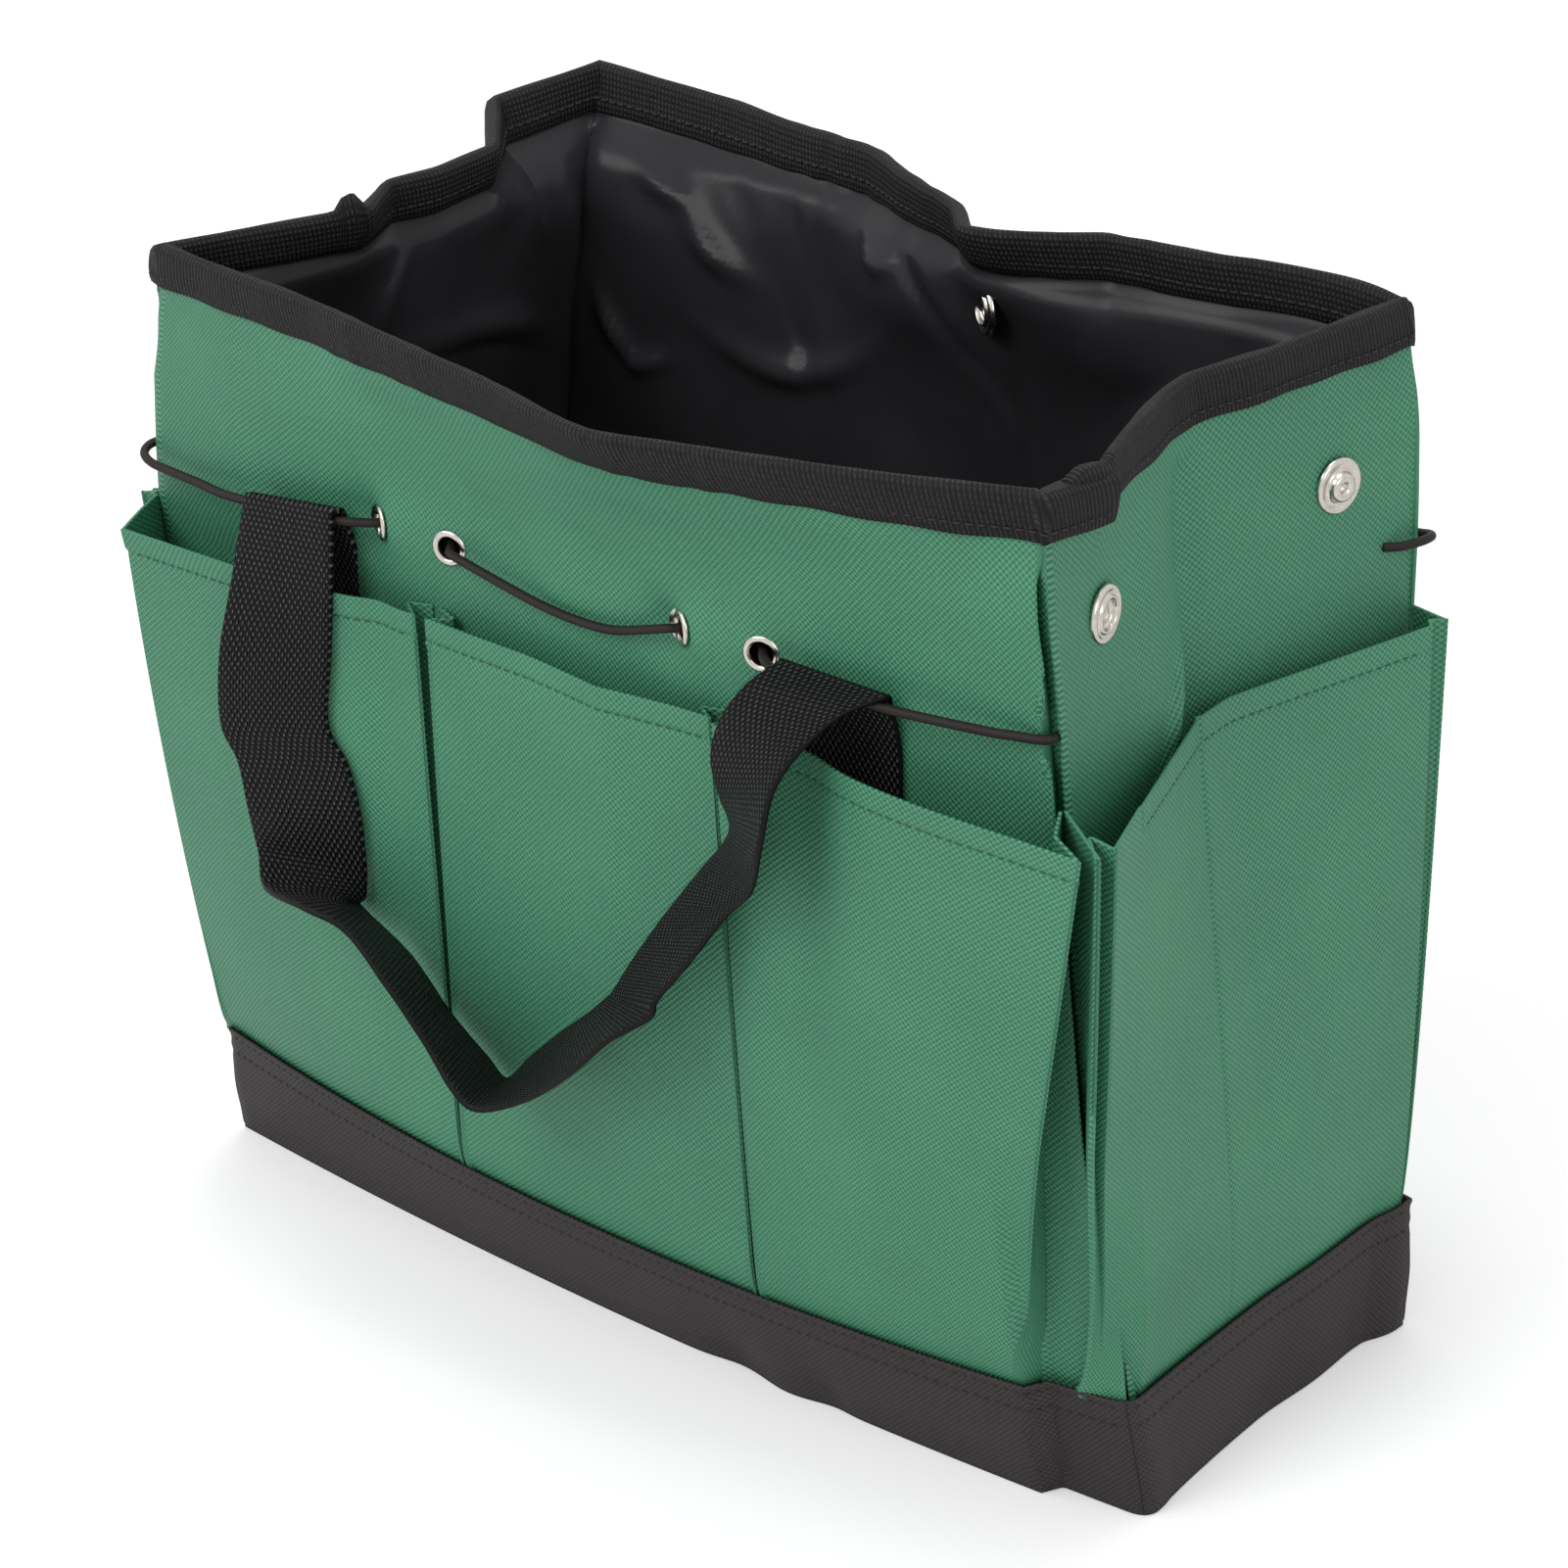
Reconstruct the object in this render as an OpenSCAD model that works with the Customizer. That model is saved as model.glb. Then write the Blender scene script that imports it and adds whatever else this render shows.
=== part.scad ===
// Garden tool bag: an open soft tote with outside bellows pockets, elastic tool
// cords, side panels that fold inwards and two webbing handles.
// Millimetres, +Z up, front panel towards -Y, origin at the middle of the underside.

/* [Bag shape] */
// Height of the rim above the floor
bag_height = 284; // [262:1:330]
// Length of the outer cloth at the base
base_length = 314; // [280:1:350]
// Depth of the outer cloth at the base
base_depth = 114; // [90:1:140]
// How far the front and back bow out at the base
base_belly = 6; // [0:0.5:10]
// How much shorter the outer cloth is at the top of the base band
waist_taper = 6; // [0:1:20]
// How much deeper the outer cloth is at the top of the base band
waist_spread = 12; // [0:1:20]
// How far the front and back bow out at the top of the base band
waist_belly = 16; // [4:0.5:24]
// Distance of the line where the bag is drawn in above the elastic cords
cinch_rise = 11; // [8:1:16]
// How much shorter than the base the outer cloth is where the cords draw it in
cinch_taper = 27; // [10:1:36]
// How much deeper than the base the outer cloth is where the cords draw it in
cinch_spread = 36; // [20:1:50]
// How far the front bows out where the cords draw it in
cinch_belly = 6; // [0:0.5:12]
// How much shorter than the base the mouth is at the rim
rim_taper = 36; // [14:1:46]
// How much deeper than the base the mouth is at the rim corners
rim_spread = 46; // [30:1:60]
// How far the front bows out at the rim
rim_belly = 20; // [6:0.5:28]
// How far the back bows out at the rim
rim_back_belly = 8; // [0:0.5:12]
// How far the back is pushed in at the rim
rim_dent = 34; // [0:0.5:36]
// Distance of the dent in the back from the middle
dent_x = 20; // [10:1:30]
// Width of the flat floor of the dent
dent_floor = 40; // [36:1:44]
// Length of the dent's slope on the left
dent_left = 52; // [44:1:70]
// Length of the dent's slope on the right
dent_right = 94; // [60:1:98]
// Depth of the inward fold in each side panel
side_fold = 14; // [6:0.5:24]

/* [Cloth] */
// Thickness of the coated outer cloth
panel_t = 1; // [0.6:0.1:1.4]
// Thickness of the satin lining
lining_t = 0.6; // [0.4:0.1:1]
// Space between outer cloth and lining, where the cords run
lining_gap = 4.4; // [4.2:0.1:6]
// Thickness of the base panel
base_t = 1.2; // [0.8:0.1:2]
// Height of the black band round the base
band_height = 36; // [26:1:46]
// Thickness of the band
band_t = 0.8; // [0.6:0.1:1.4]
// Width of the rim tape on each side of the rim
tape_width = 12.5; // [9:0.5:16]
// Thickness of the rim tape
tape_t = 0.8; // [0.6:0.1:1.2]

/* [Pockets] */
// Height of the pocket mouths
pocket_top = 203; // [180:1:206]
// Thickness of the pocket cloth
pocket_t = 0.8; // [0.6:0.1:1.2]
// Width of the middle pocket
middle_pocket_width = 104; // [90:1:116]
// Opening of the front and back pockets at the middle
pocket_mid_gap = 8; // [7:0.5:14]
// Opening of the front and back pockets at the corners
pocket_end_gap = 18; // [10:0.5:24]
// How far the front and back pockets stand out past the corners
pocket_flare = 8; // [0:0.5:12]
// Opening of the side pockets at their middle
side_pocket_mid_gap = 10; // [8:0.5:16]
// Opening of the side pockets at the corners
side_pocket_end_gap = 18; // [10:0.5:24]

/* [Cords and eyelets] */
// Height of the elastic cords
cord_height = 221; // [219:0.5:223]
// Diameter of the elastic cords
cord_d = 2.4; // [2:0.1:2.5]
// Bore of an eyelet
eyelet_bore = 6; // [5.8:0.1:7]
// Outer diameter of an eyelet
eyelet_d = 10; // [9:0.1:11]
// Rise of an eyelet above the cloth
eyelet_rise = 0.8; // [0.5:0.1:1]
// Distance from the middle of the row to the inner eyelets
eyelet_inner_x = 39; // [38.5:0.1:39.5]
// Distance from the middle of the row to the outer eyelets
eyelet_outer_x = 64; // [63.5:0.1:64.5]
// How far the eyelets and the handle sit from the middle of the panel
face_shift = -4.5; // [-6:0.5:0]

/* [Press studs] */
// Diameter of a press stud
stud_d = 15; // [12:0.5:17]
// Height of a press stud above the cloth
stud_rise = 3.2; // [2.6:0.1:4]
// Distance of the side press studs below the rim
side_stud_drop = 42; // [36:1:44]
// Distance between the two halves of a side press stud
side_stud_spread = 96; // [70:1:104]
// Distance of the closure press stud below the rim
closure_drop = 26; // [24:1:34]
// Distance of the closure press stud from the middle
closure_x = 22; // [16:1:26]

/* [Handles] */
// Width of the handle webbing
strap_w = 32; // [28:1:34]
// Thickness of the handle webbing
strap_t = 1.5; // [1:0.1:1.8]
// Distance between the two ends of a handle
handle_width = 180; // [176:1:200]
// Length of each sewn handle end below the cord
handle_end_length = 72; // [40:1:120]

/* [Hidden] */

$fn = 48;
CLOTH_GREEN = "#3f8b64";
BAND_BLACK = "#3a3536";
SATIN_BLACK = "#1d1d21";
TAPE_BLACK = "#242324";
NICKEL = "#c9c6c0";
FRONT = 0;
SIDE = 1;
REAR = 2;
// Segments of cloth along the front or back, along a side, and along a pocket
LONG_STEPS = 16;
SIDE_STEPS = 6;
POCKET_STEPS = 6;
STEP_E = 0.01;
// Small clearances: at a seam, under the base, behind a pocket, under the tape,
// under metal parts, beside the cord, and behind the hanging strap
seam_gap = 0.3;
layer_gap = 0.3;
seat_gap = 0.15;
run_gap = 0.6;
hang_gap = 1.2;
// Slack left in a pocket where it is pressed flat behind the band
pocket_slack = 1;
pocket_flat = layer_gap + pocket_t + pocket_slack;
band_in = pocket_flat + layer_gap;
band_out = band_in + band_t;
// The lining closes up against the outer cloth under the rim tape
rim_gap = 0.5;
lining_close = 5;
// Width of cloth that a turn of the wall takes up
cloth_turn = 2;
cinch_height = cord_height + cinch_rise;
waist_length = base_length - waist_taper;
cinch_length = base_length - cinch_taper;
rim_length = base_length - rim_taper;
waist_depth = base_depth + waist_spread;
cinch_depth = base_depth + cinch_spread;
rim_depth = base_depth + rim_spread;
side_stud_height = bag_height - side_stud_drop;
// The closure press stud lies on flat lining, so it goes below a cinch line that would cross it
stud_clear = stud_d / 2 + cloth_turn;
closure_wish = bag_height - closure_drop;
closure_height = abs(closure_wish - cinch_height) < stud_clear ? cinch_height - stud_clear : closure_wish;
panel_top = bag_height - tape_t - layer_gap;
tape_low = bag_height - tape_width;
wall_low = base_t + layer_gap;
floor_top = wall_low + lining_t;

// Outline of the bag at height z, as half lengths, half depths, bows and folds
function by_height(z, base, waist, cinch, rim) =
    lookup(z, [[0, base], [band_height, waist], [cinch_height, cinch], [bag_height, rim]]);
function half_len(z) = by_height(z, base_length, waist_length, cinch_length, rim_length) / 2;
function half_dep(z) = by_height(z, base_depth, waist_depth, cinch_depth, rim_depth) / 2;
function front_bow(z) = by_height(z, base_belly, waist_belly, cinch_belly, rim_belly);
function rear_bow(z) = by_height(z, base_belly, waist_belly, 0, rim_back_belly);
function rear_dent(z) = by_height(z, 0, 0, 0, rim_dent);
function fold_in(z) = by_height(z, 0, 0, side_fold, side_fold);
function dent_shape(x) =
    let (d = -x - dent_x, slope = d < 0 ? dent_left : dent_right,
        t = max(0, abs(d) - dent_floor / 2) / slope)
    pow(max(0, 1 - t * t), 2);
function face_bow(s, z, kind) = kind == FRONT ? front_bow(z) * (1 - s * s)
    : rear_bow(z) * (1 - s * s) - rear_dent(z) * dent_shape(s * half_len(z));

// Points on the outer cloth: s and q run from -1 to 1 along a face and a side.
// The rear face and the left side are these turned half a turn about Z.
function face_point(s, z, kind) = [s * half_len(z), -half_dep(z) - face_bow(s, z, kind)];
function side_point(q, z) = [half_len(z) - fold_in(z) * (1 - abs(q)), q * half_dep(z)];
function wall(kind, u, z) = kind == SIDE ? side_point(u, z) : face_point(u, z, kind);
function span(kind, z) = kind == SIDE ? half_dep(z) : half_len(z);
function unit(v) = v / norm(v);
function along(kind, u, z) = unit(wall(kind, u + STEP_E, z) - wall(kind, u - STEP_E, z));
function off_wall(kind, u, z, d) =
    let (p = wall(kind, u, z), t = along(kind, u, z))
    [p.x + t.y * d, p.y - t.x * d, z];
function at_x(kind, x, z, d) = off_wall(kind, x / half_len(z), z, d);

// Closed outline at height z, and the same moved outwards by d with mitred corners
function outline(z) = concat(
    [for (i = [0 : LONG_STEPS - 1]) face_point(-1 + 2 * i / LONG_STEPS, z, FRONT)],
    [for (i = [0 : SIDE_STEPS - 1]) side_point(-1 + 2 * i / SIDE_STEPS, z)],
    [for (i = [0 : LONG_STEPS - 1]) -face_point(-1 + 2 * i / LONG_STEPS, z, REAR)],
    [for (i = [0 : SIDE_STEPS - 1]) -side_point(-1 + 2 * i / SIDE_STEPS, z)]);
ROUND = 2 * (LONG_STEPS + SIDE_STEPS);
function edge_out(p, i) =
    let (d = unit(p[(i + 1) % ROUND] - p[i % ROUND]))
    [d.y, -d.x];
function grown(z, d) =
    let (p = outline(z))
    [for (i = [0 : ROUND - 1])
        let (a = edge_out(p, i + ROUND - 1), b = edge_out(p, i))
        p[i] + d * (a + b) / (1 + a * b)];
function lift(p, z) = [p.x, p.y, z];
function steps(from, to, n) = [for (i = [1 : n]) from + (to - from) * i / n];

// First and last outline points of each panel, and where the two rim tapes meet
front_run = [0, LONG_STEPS];
right_run = [LONG_STEPS, LONG_STEPS + SIDE_STEPS];
back_run = [LONG_STEPS + SIDE_STEPS, 2 * LONG_STEPS + SIDE_STEPS];
left_run = [2 * LONG_STEPS + SIDE_STEPS, ROUND];
right_tape_joint = LONG_STEPS + 1;
left_tape_joint = ROUND - 2;

// A sheet through cross-sections: each has its outer points, then its inner ones.
// Triangles slope one way, or the other way in the columns that are listed.
module strip_loft(sections, other = []) {
    m = len(sections);
    n = len(sections[0]) / 2;
    function at(k, j) = k * 2 * n + j;
    function quad(a, b, c, d, flip = false) = flip ? [[a, d, b], [d, c, b]] : [[a, d, c], [a, c, b]];
    flips = [for (j = [0 : n - 2]) len(search(j, other)) > 0];
    faces = [for (k = [0 : m - 2]) for (f = concat(
            [for (j = [0 : n - 2])
                quad(at(k, j), at(k, j + 1), at(k + 1, j + 1), at(k + 1, j), flips[j])],
            [for (j = [0 : n - 2])
                quad(at(k, n + j), at(k + 1, n + j), at(k + 1, n + j + 1), at(k, n + j + 1), flips[j])],
            [quad(at(k, n), at(k, 0), at(k + 1, 0), at(k + 1, n))],
            [quad(at(k, n - 1), at(k, 2 * n - 1), at(k + 1, 2 * n - 1), at(k + 1, n - 1))]))
        each f];
    low = [for (j = [0 : n - 2]) each quad(at(0, j + 1), at(0, j), at(0, n + j), at(0, n + j + 1))];
    top = [for (j = [0 : n - 2])
        each quad(at(m - 1, j), at(m - 1, j + 1), at(m - 1, n + j + 1), at(m - 1, n + j))];
    polyhedron(points = [for (s = sections) each s], faces = concat(faces, low, top), convexity = 8);
}

// A round cord through points, with eight sides
module cord_tube(path, d) {
    sides = 8;
    m = len(path);
    function ahead(i) = unit(path[min(i + 1, m - 1)] - path[max(i - 1, 0)]);
    function ring(i) =
        let (t = ahead(i), a = unit(cross(t, [0, 0, 1])), b = cross(a, t))
        [for (k = [0 : sides - 1])
            path[i] + d / 2 * (cos(360 * k / sides) * a + sin(360 * k / sides) * b)];
    walls = [for (i = [0 : m - 2]) for (k = [0 : sides - 1])
        let (n = (k + 1) % sides, a = i * sides, b = a + sides)
        each [[a + k, a + n, b + n], [a + k, b + n, b + k]]];
    ends = [for (k = [1 : sides - 2])
        each [[0, k + 1, k], [(m - 1) * sides, (m - 1) * sides + k, (m - 1) * sides + k + 1]]];
    polyhedron(points = [for (i = [0 : m - 1]) each ring(i)], faces = concat(walls, ends), convexity = 8);
}

// Points halfway between, on a smooth curve through the given points
function smooth_path(p) =
    let (m = len(p))
    [for (i = [0 : m - 2])
        let (a = p[max(i - 1, 0)], b = p[i], c = p[i + 1], d = p[min(i + 2, m - 1)])
        each [b, (9 * (b + c) - a - d) / 16],
     p[m - 1]];

// Puts its children on the outer cloth, with Z out of the cloth and X along it
module on_wall(kind, u, z, d) {
    low = off_wall(kind, u, z - STEP_E, 0);
    high = off_wall(kind, u, z + STEP_E, 0);
    t2 = along(kind, u, z);
    t = [t2.x, t2.y, 0];
    n = unit(cross(t, high - low));
    v = cross(n, t);
    p = off_wall(kind, u, z, d);
    multmatrix([[t.x, v.x, n.x, p.x], [t.y, v.y, n.y, p.y], [t.z, v.z, n.z, p.z], [0, 0, 0, 1]])
        children();
}

module turned(rear) {
    rotate([0, 0, rear ? 180 : 0])
        children();
}

// One panel between two distances from the outer cloth, through the given heights,
// each with the space that it leaves there
module panel_sheet(run, heights, outer, inner) {
    function row(z, d) =
        let (g = grown(z, d), n = run[1] - run[0], p = [for (i = [0 : n]) g[(run[0] + i) % ROUND]])
        [for (i = [0 : n])
            lift(i == 0 ? p[0] + seam_gap / 2 * unit(p[1] - p[0])
                : i == n ? p[n] - seam_gap / 2 * unit(p[n] - p[n - 1]) : p[i], z)];
    strip_loft([for (h = heights) concat(row(h[0], outer - h[1]), row(h[0], inner - h[1]))]);
}

eyelet_places = [for (x = [-eyelet_outer_x, -eyelet_inner_x, eyelet_inner_x, eyelet_outer_x]) x + face_shift];
lining_low = floor_top + layer_gap;
lining_shut = tape_low - layer_gap;
band_heights = concat([wall_low], steps(wall_low, band_height, 3));
upper_heights = concat(steps(band_height, cinch_height, 4),
    steps(cinch_height, lining_shut - lining_close, 3));
panel_heights = [for (z = concat(band_heights, upper_heights, [lining_shut, panel_top])) [z, 0]];

module eyelet_row(kind, d) {
    turned(kind == REAR)
        for (x = eyelet_places)
            on_wall(kind, x / half_len(cord_height), cord_height, d)
                children();
}

// Front and back panels, pierced by the eyelets
eyelet_wall = 0.4;
module face_panel(kind, run) {
    color(CLOTH_GREEN)
        difference() {
            panel_sheet(run, panel_heights, 0, -panel_t);
            eyelet_row(kind, 0)
                cylinder(h = 4 * panel_t, d = eyelet_bore + 2 * (eyelet_wall + seat_gap), center = true);
        }
}
module front_panel() face_panel(FRONT, front_run);
module back_panel() face_panel(REAR, back_run);

// Side panels, pierced by the rivets of the press studs
rivet_d = 3.4;
side_stud_q = side_stud_spread / 2 / half_dep(side_stud_height);
module at_side_stud(left, q, d) {
    turned(left)
        on_wall(SIDE, left ? -q : q, side_stud_height, d)
            children();
}
module side_panel(left, run) {
    color(CLOTH_GREEN)
        difference() {
            panel_sheet(run, panel_heights, 0, -panel_t);
            for (q = [-side_stud_q, side_stud_q])
                at_side_stud(left, q, 0)
                    cylinder(h = 4 * panel_t, d = rivet_d + 2 * seat_gap, center = true);
        }
}
module left_side_panel() side_panel(true, left_run);
module right_side_panel() side_panel(false, right_run);

module base_panel() {
    color(BAND_BLACK)
        linear_extrude(base_t)
            polygon(grown(0, band_out));
}

// The band is four lengths, joined in the corner seams
module band(run) {
    color(BAND_BLACK)
        panel_sheet(run, [for (z = band_heights) [z, 0]], band_out, band_in);
}
module front_band() band(front_run);
module back_band() band(back_run);
module left_band() band(left_run);
module right_band() band(right_run);

// The lining hangs inside the outer cloth and closes up to it under the rim tape
lining_heights = concat(
    [for (z = concat([lining_low], steps(wall_low, band_height, 3), upper_heights)) [z, lining_gap]],
    [[lining_shut, rim_gap], [panel_top, rim_gap]]);
lining_face = -panel_t - lining_gap - lining_t;
module lining(run) {
    panel_sheet(run, lining_heights, -panel_t, -panel_t - lining_t);
}
module at_closure(rear, d) {
    z = closure_height;
    u = closure_x / half_len(z);
    turned(rear)
        on_wall(rear ? REAR : FRONT, rear ? -u : u, z, d)
            children();
}
module face_lining(rear, run) {
    color(SATIN_BLACK)
        difference() {
            lining(run);
            at_closure(rear, lining_face - seat_gap)
                cylinder(h = 8 * lining_t, d = rivet_d + 2 * seat_gap, center = true);
        }
}
module front_lining() face_lining(false, front_run);
module back_lining() face_lining(true, back_run);
module left_lining() color(SATIN_BLACK) lining(left_run);
module right_lining() color(SATIN_BLACK) lining(right_run);
module floor_lining() {
    color(SATIN_BLACK)
        translate([0, 0, wall_low])
            linear_extrude(lining_t)
                polygon(grown(0, -panel_t - layer_gap));
}

// The tape is folded over the rim: down the outside, over the top, down the inside
module rim_tape(first, last) {
    out = layer_gap + tape_t;
    in = -panel_t - rim_gap - lining_t - layer_gap - tape_t;
    function corner(z_at, z, d) = [for (p = grown(z_at, d)) lift(p, z)];
    legs = [corner(tape_low, tape_low, in), corner(panel_top, bag_height, in),
        corner(panel_top, bag_height, out), corner(tape_low, tape_low, out),
        corner(tape_low, tape_low, in + tape_t), corner(panel_top, bag_height - tape_t, in + tape_t),
        corner(panel_top, bag_height - tape_t, out - tape_t), corner(tape_low, tape_low, out - tape_t)];
    function end_shift(i) =
        let (a = outline(panel_top))
        i == first ? lift(seam_gap / 2 * unit(a[(i + 1) % ROUND] - a[i % ROUND]), 0)
            : i == last ? lift(-seam_gap / 2 * unit(a[i % ROUND] - a[(i - 1) % ROUND]), 0) : [0, 0, 0];
    color(TAPE_BLACK)
        strip_loft([for (i = [first : last]) [for (l = legs) l[i % ROUND] + end_shift(i)]], [2]);
}
module front_rim_tape() rim_tape(left_tape_joint, ROUND + right_tape_joint);
module back_rim_tape() rim_tape(right_tape_joint, left_tape_joint);

// Bellows pockets: the mouth stands off the wall, the foot is flat behind the band
function pocket_rise(z) = max(0, min(1, (z - band_height) / (pocket_top - band_height)));
function pocket_gap(kind, u) = kind == SIDE
    ? side_pocket_mid_gap + (side_pocket_end_gap - side_pocket_mid_gap) * u * u
    : pocket_mid_gap + (pocket_end_gap - pocket_mid_gap) * u * u;
function pocket_depth(kind, u, z) =
    pocket_flat + (pocket_gap(kind, u) - pocket_flat) * pocket_rise(z);
module pocket(kind, rear, from, to, flare_from, flare_to) {
    function face_at(a, b, j) = a + (b - a) * j / POCKET_STEPS;
    function face(u, z, d) = off_wall(kind, u, z, pocket_depth(kind, u, z) - d);
    function section(z) =
        let (w = span(kind, z), t = pocket_t / w, e = seam_gap / w, r = pocket_rise(z) / w,
            a = from + e, b = to - e, fa = a - flare_from * r, fb = b + flare_to * r)
        concat([off_wall(kind, a, z, layer_gap)],
            [for (j = [0 : POCKET_STEPS]) face(face_at(fa, fb, j), z, 0)],
            [off_wall(kind, b, z, layer_gap), off_wall(kind, a + t, z, layer_gap)],
            [for (j = [0 : POCKET_STEPS]) face(face_at(fa + t, fb - t, j), z, pocket_t)],
            [off_wall(kind, b - t, z, layer_gap)]);
    heights = concat(band_heights, steps(band_height, pocket_top, 4));
    color(CLOTH_GREEN)
        turned(rear)
            strip_loft([for (z = heights) section(z)]);
}
divider = middle_pocket_width / waist_length;
module front_left_pocket() pocket(FRONT, false, -1, -divider, pocket_flare, 0);
module front_middle_pocket() pocket(FRONT, false, -divider, divider, 0, 0);
module front_right_pocket() pocket(FRONT, false, divider, 1, 0, pocket_flare);
module back_right_pocket() pocket(REAR, true, -1, -divider, pocket_flare, 0);
module back_middle_pocket() pocket(REAR, true, -divider, divider, 0, 0);
module back_left_pocket() pocket(REAR, true, divider, 1, 0, pocket_flare);
module right_side_pocket() pocket(SIDE, false, -1, 1, 0, 0);
module left_side_pocket() pocket(SIDE, true, -1, 1, 0, 0);

// Eyelet: a flanged barrel, set from outside and rolled over a washer inside
washer_t = 0.4;
module eyelets(kind) {
    r = eyelet_bore / 2;
    barrel = panel_t + washer_t + 2 * seat_gap;
    color(NICKEL)
        eyelet_row(kind, seat_gap)
            rotate_extrude()
                polygon([[r, -barrel], [r + eyelet_wall, -barrel], [r + eyelet_wall, 0],
                    [eyelet_d / 2, 0], [eyelet_d / 2 - eyelet_rise / 3, eyelet_rise * 2 / 3],
                    [(r + eyelet_d / 2) / 2, eyelet_rise], [r + eyelet_rise / 4, eyelet_rise * 2 / 3],
                    [r, 0]]);
}
module eyelet_washers(kind) {
    color(NICKEL)
        eyelet_row(kind, -panel_t - seat_gap - washer_t)
            difference() {
                cylinder(h = washer_t, d = eyelet_d);
                cylinder(h = 3 * washer_t, d = eyelet_bore + 2 * (eyelet_wall + seat_gap), center = true);
            }
}
module front_eyelets() eyelets(FRONT);
module back_eyelets() eyelets(REAR);
module front_eyelet_washers() eyelet_washers(FRONT);
module back_eyelet_washers() eyelet_washers(REAR);

// Line about which a handle swings: the cord where the strap is folded over it
fold_r = cord_d / 2 + run_gap + strap_t / 2;
strap_in_x = (handle_width - strap_w) / 2 - abs(face_shift);
strap_legs = [face_shift - handle_width / 2, face_shift + handle_width / 2];
function swing_y(kind) =
    at_x(kind, strap_in_x, cord_height, 0).y - layer_gap - strap_t - run_gap - strap_t / 2 - fold_r;
function swing_off(kind, x) = at_x(kind, x, cord_height, 0).y - swing_y(kind);

// Elastic cord: x along the panel, rise above the cord line, distance from the cloth.
// It starts at the seam round one corner, runs through the eyelets and ends at the other seam.
corner_x = half_len(cord_height);
cord_start = [[-0.9, 0, -9], [-2, 0, -5], [-3.4, 0, -1], [-3, 0, 3], [-0.5, -0.5, 5.4], [6, -1, 6.4]];
cord_middle = [[-30, -1.2, 2.6], [-18, -3.6, 2.2], [-6, -5.6, 2], [6, -6.4, 2], [18, -5.6, 2.2], [30, -2, 2.6]];
cord_finish = [[-16, 0, 4.6], [-9, 0, 2.6], [-3, 0, 1.7]];
into_eyelet = [[-3, 2.65], [-1.2, 1.1], [0, -0.35], [1.2, -1.8], [3, -3.3], [6, -3.6]];
function pass(x, way) = [for (p = into_eyelet) [x + way * p[0], 0, p[1]]];
function reversed(list) = [for (i = [len(list) - 1 : -1 : 0]) list[i]];
function across_strap(kind, x) =
    [for (w = [-strap_w / 2 - 1, 0, strap_w / 2 + 1]) [x + w, 0, swing_off(kind, x + w)]];
function cord_route(kind) = concat(
    [for (p = cord_start) [p[0] - corner_x, p[1], p[2]]],
    across_strap(kind, strap_legs[0]),
    pass(eyelet_places[0], 1), reversed(pass(eyelet_places[1], -1)),
    [for (p = cord_middle) [p[0] + face_shift, p[1], p[2]]],
    pass(eyelet_places[2], 1), reversed(pass(eyelet_places[3], -1)),
    across_strap(kind, strap_legs[1]),
    [for (p = cord_finish) [corner_x + p[0], p[1], p[2]]]);
module elastic_cord(kind) {
    route = [for (p = cord_route(kind)) at_x(kind, p[0], cord_height + p[1], p[2])];
    color(TAPE_BLACK)
        turned(kind == REAR)
            cord_tube(smooth_path(route), cord_d);
}
module front_cord() elastic_cord(FRONT);
module back_cord() elastic_cord(REAR);

// Press stud halves: a socket with a sprung ring and a post with a bead
flange_t = 1;
cap_t = 0.8;
post_d = 6.6;
socket_d = 7.4;
module socket_half(shaft) {
    rim_r = stud_d / 2;
    color(NICKEL)
        union() {
            translate([0, 0, -shaft])
                cylinder(h = shaft + flange_t / 2, d = rivet_d);
            rotate_extrude()
                polygon([[0, 0], [rim_r, 0], [rim_r, flange_t / 2], [rim_r - 1, flange_t],
                    [socket_d / 2 + 2, flange_t], [socket_d / 2 + 1.4, stud_rise],
                    [socket_d / 2 + 0.4, stud_rise], [socket_d / 2, stud_rise - 0.6],
                    [socket_d / 2, flange_t / 2], [0, flange_t / 2]]);
        }
}
module post_half(shaft) {
    rim_r = stud_d / 2;
    color(NICKEL)
        union() {
            translate([0, 0, -shaft])
                cylinder(h = shaft + flange_t / 2, d = rivet_d);
            rotate_extrude()
                polygon([[0, 0], [rim_r, 0], [rim_r, flange_t / 2], [rim_r - 1.2, flange_t],
                    [post_d / 2 - 0.4, flange_t], [post_d / 2 - 0.4, stud_rise - 1.4],
                    [post_d / 2, stud_rise - 0.8], [post_d / 2 - 0.6, stud_rise],
                    [1.4, stud_rise], [1.4, flange_t], [0, flange_t]]);
        }
}
module left_stud_socket() at_side_stud(true, -side_stud_q, seat_gap) socket_half(panel_t);
module left_stud_post() at_side_stud(true, side_stud_q, seat_gap) post_half(panel_t);
module right_stud_socket() at_side_stud(false, -side_stud_q, seat_gap) socket_half(panel_t);
module right_stud_post() at_side_stud(false, side_stud_q, seat_gap) post_half(panel_t);
module side_stud_caps() {
    color(NICKEL)
        for (left = [true, false], q = [-side_stud_q, side_stud_q])
            at_side_stud(left, q, -panel_t - 2 * seat_gap - cap_t)
                cylinder(h = cap_t, d = stud_d - 3);
}

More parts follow.
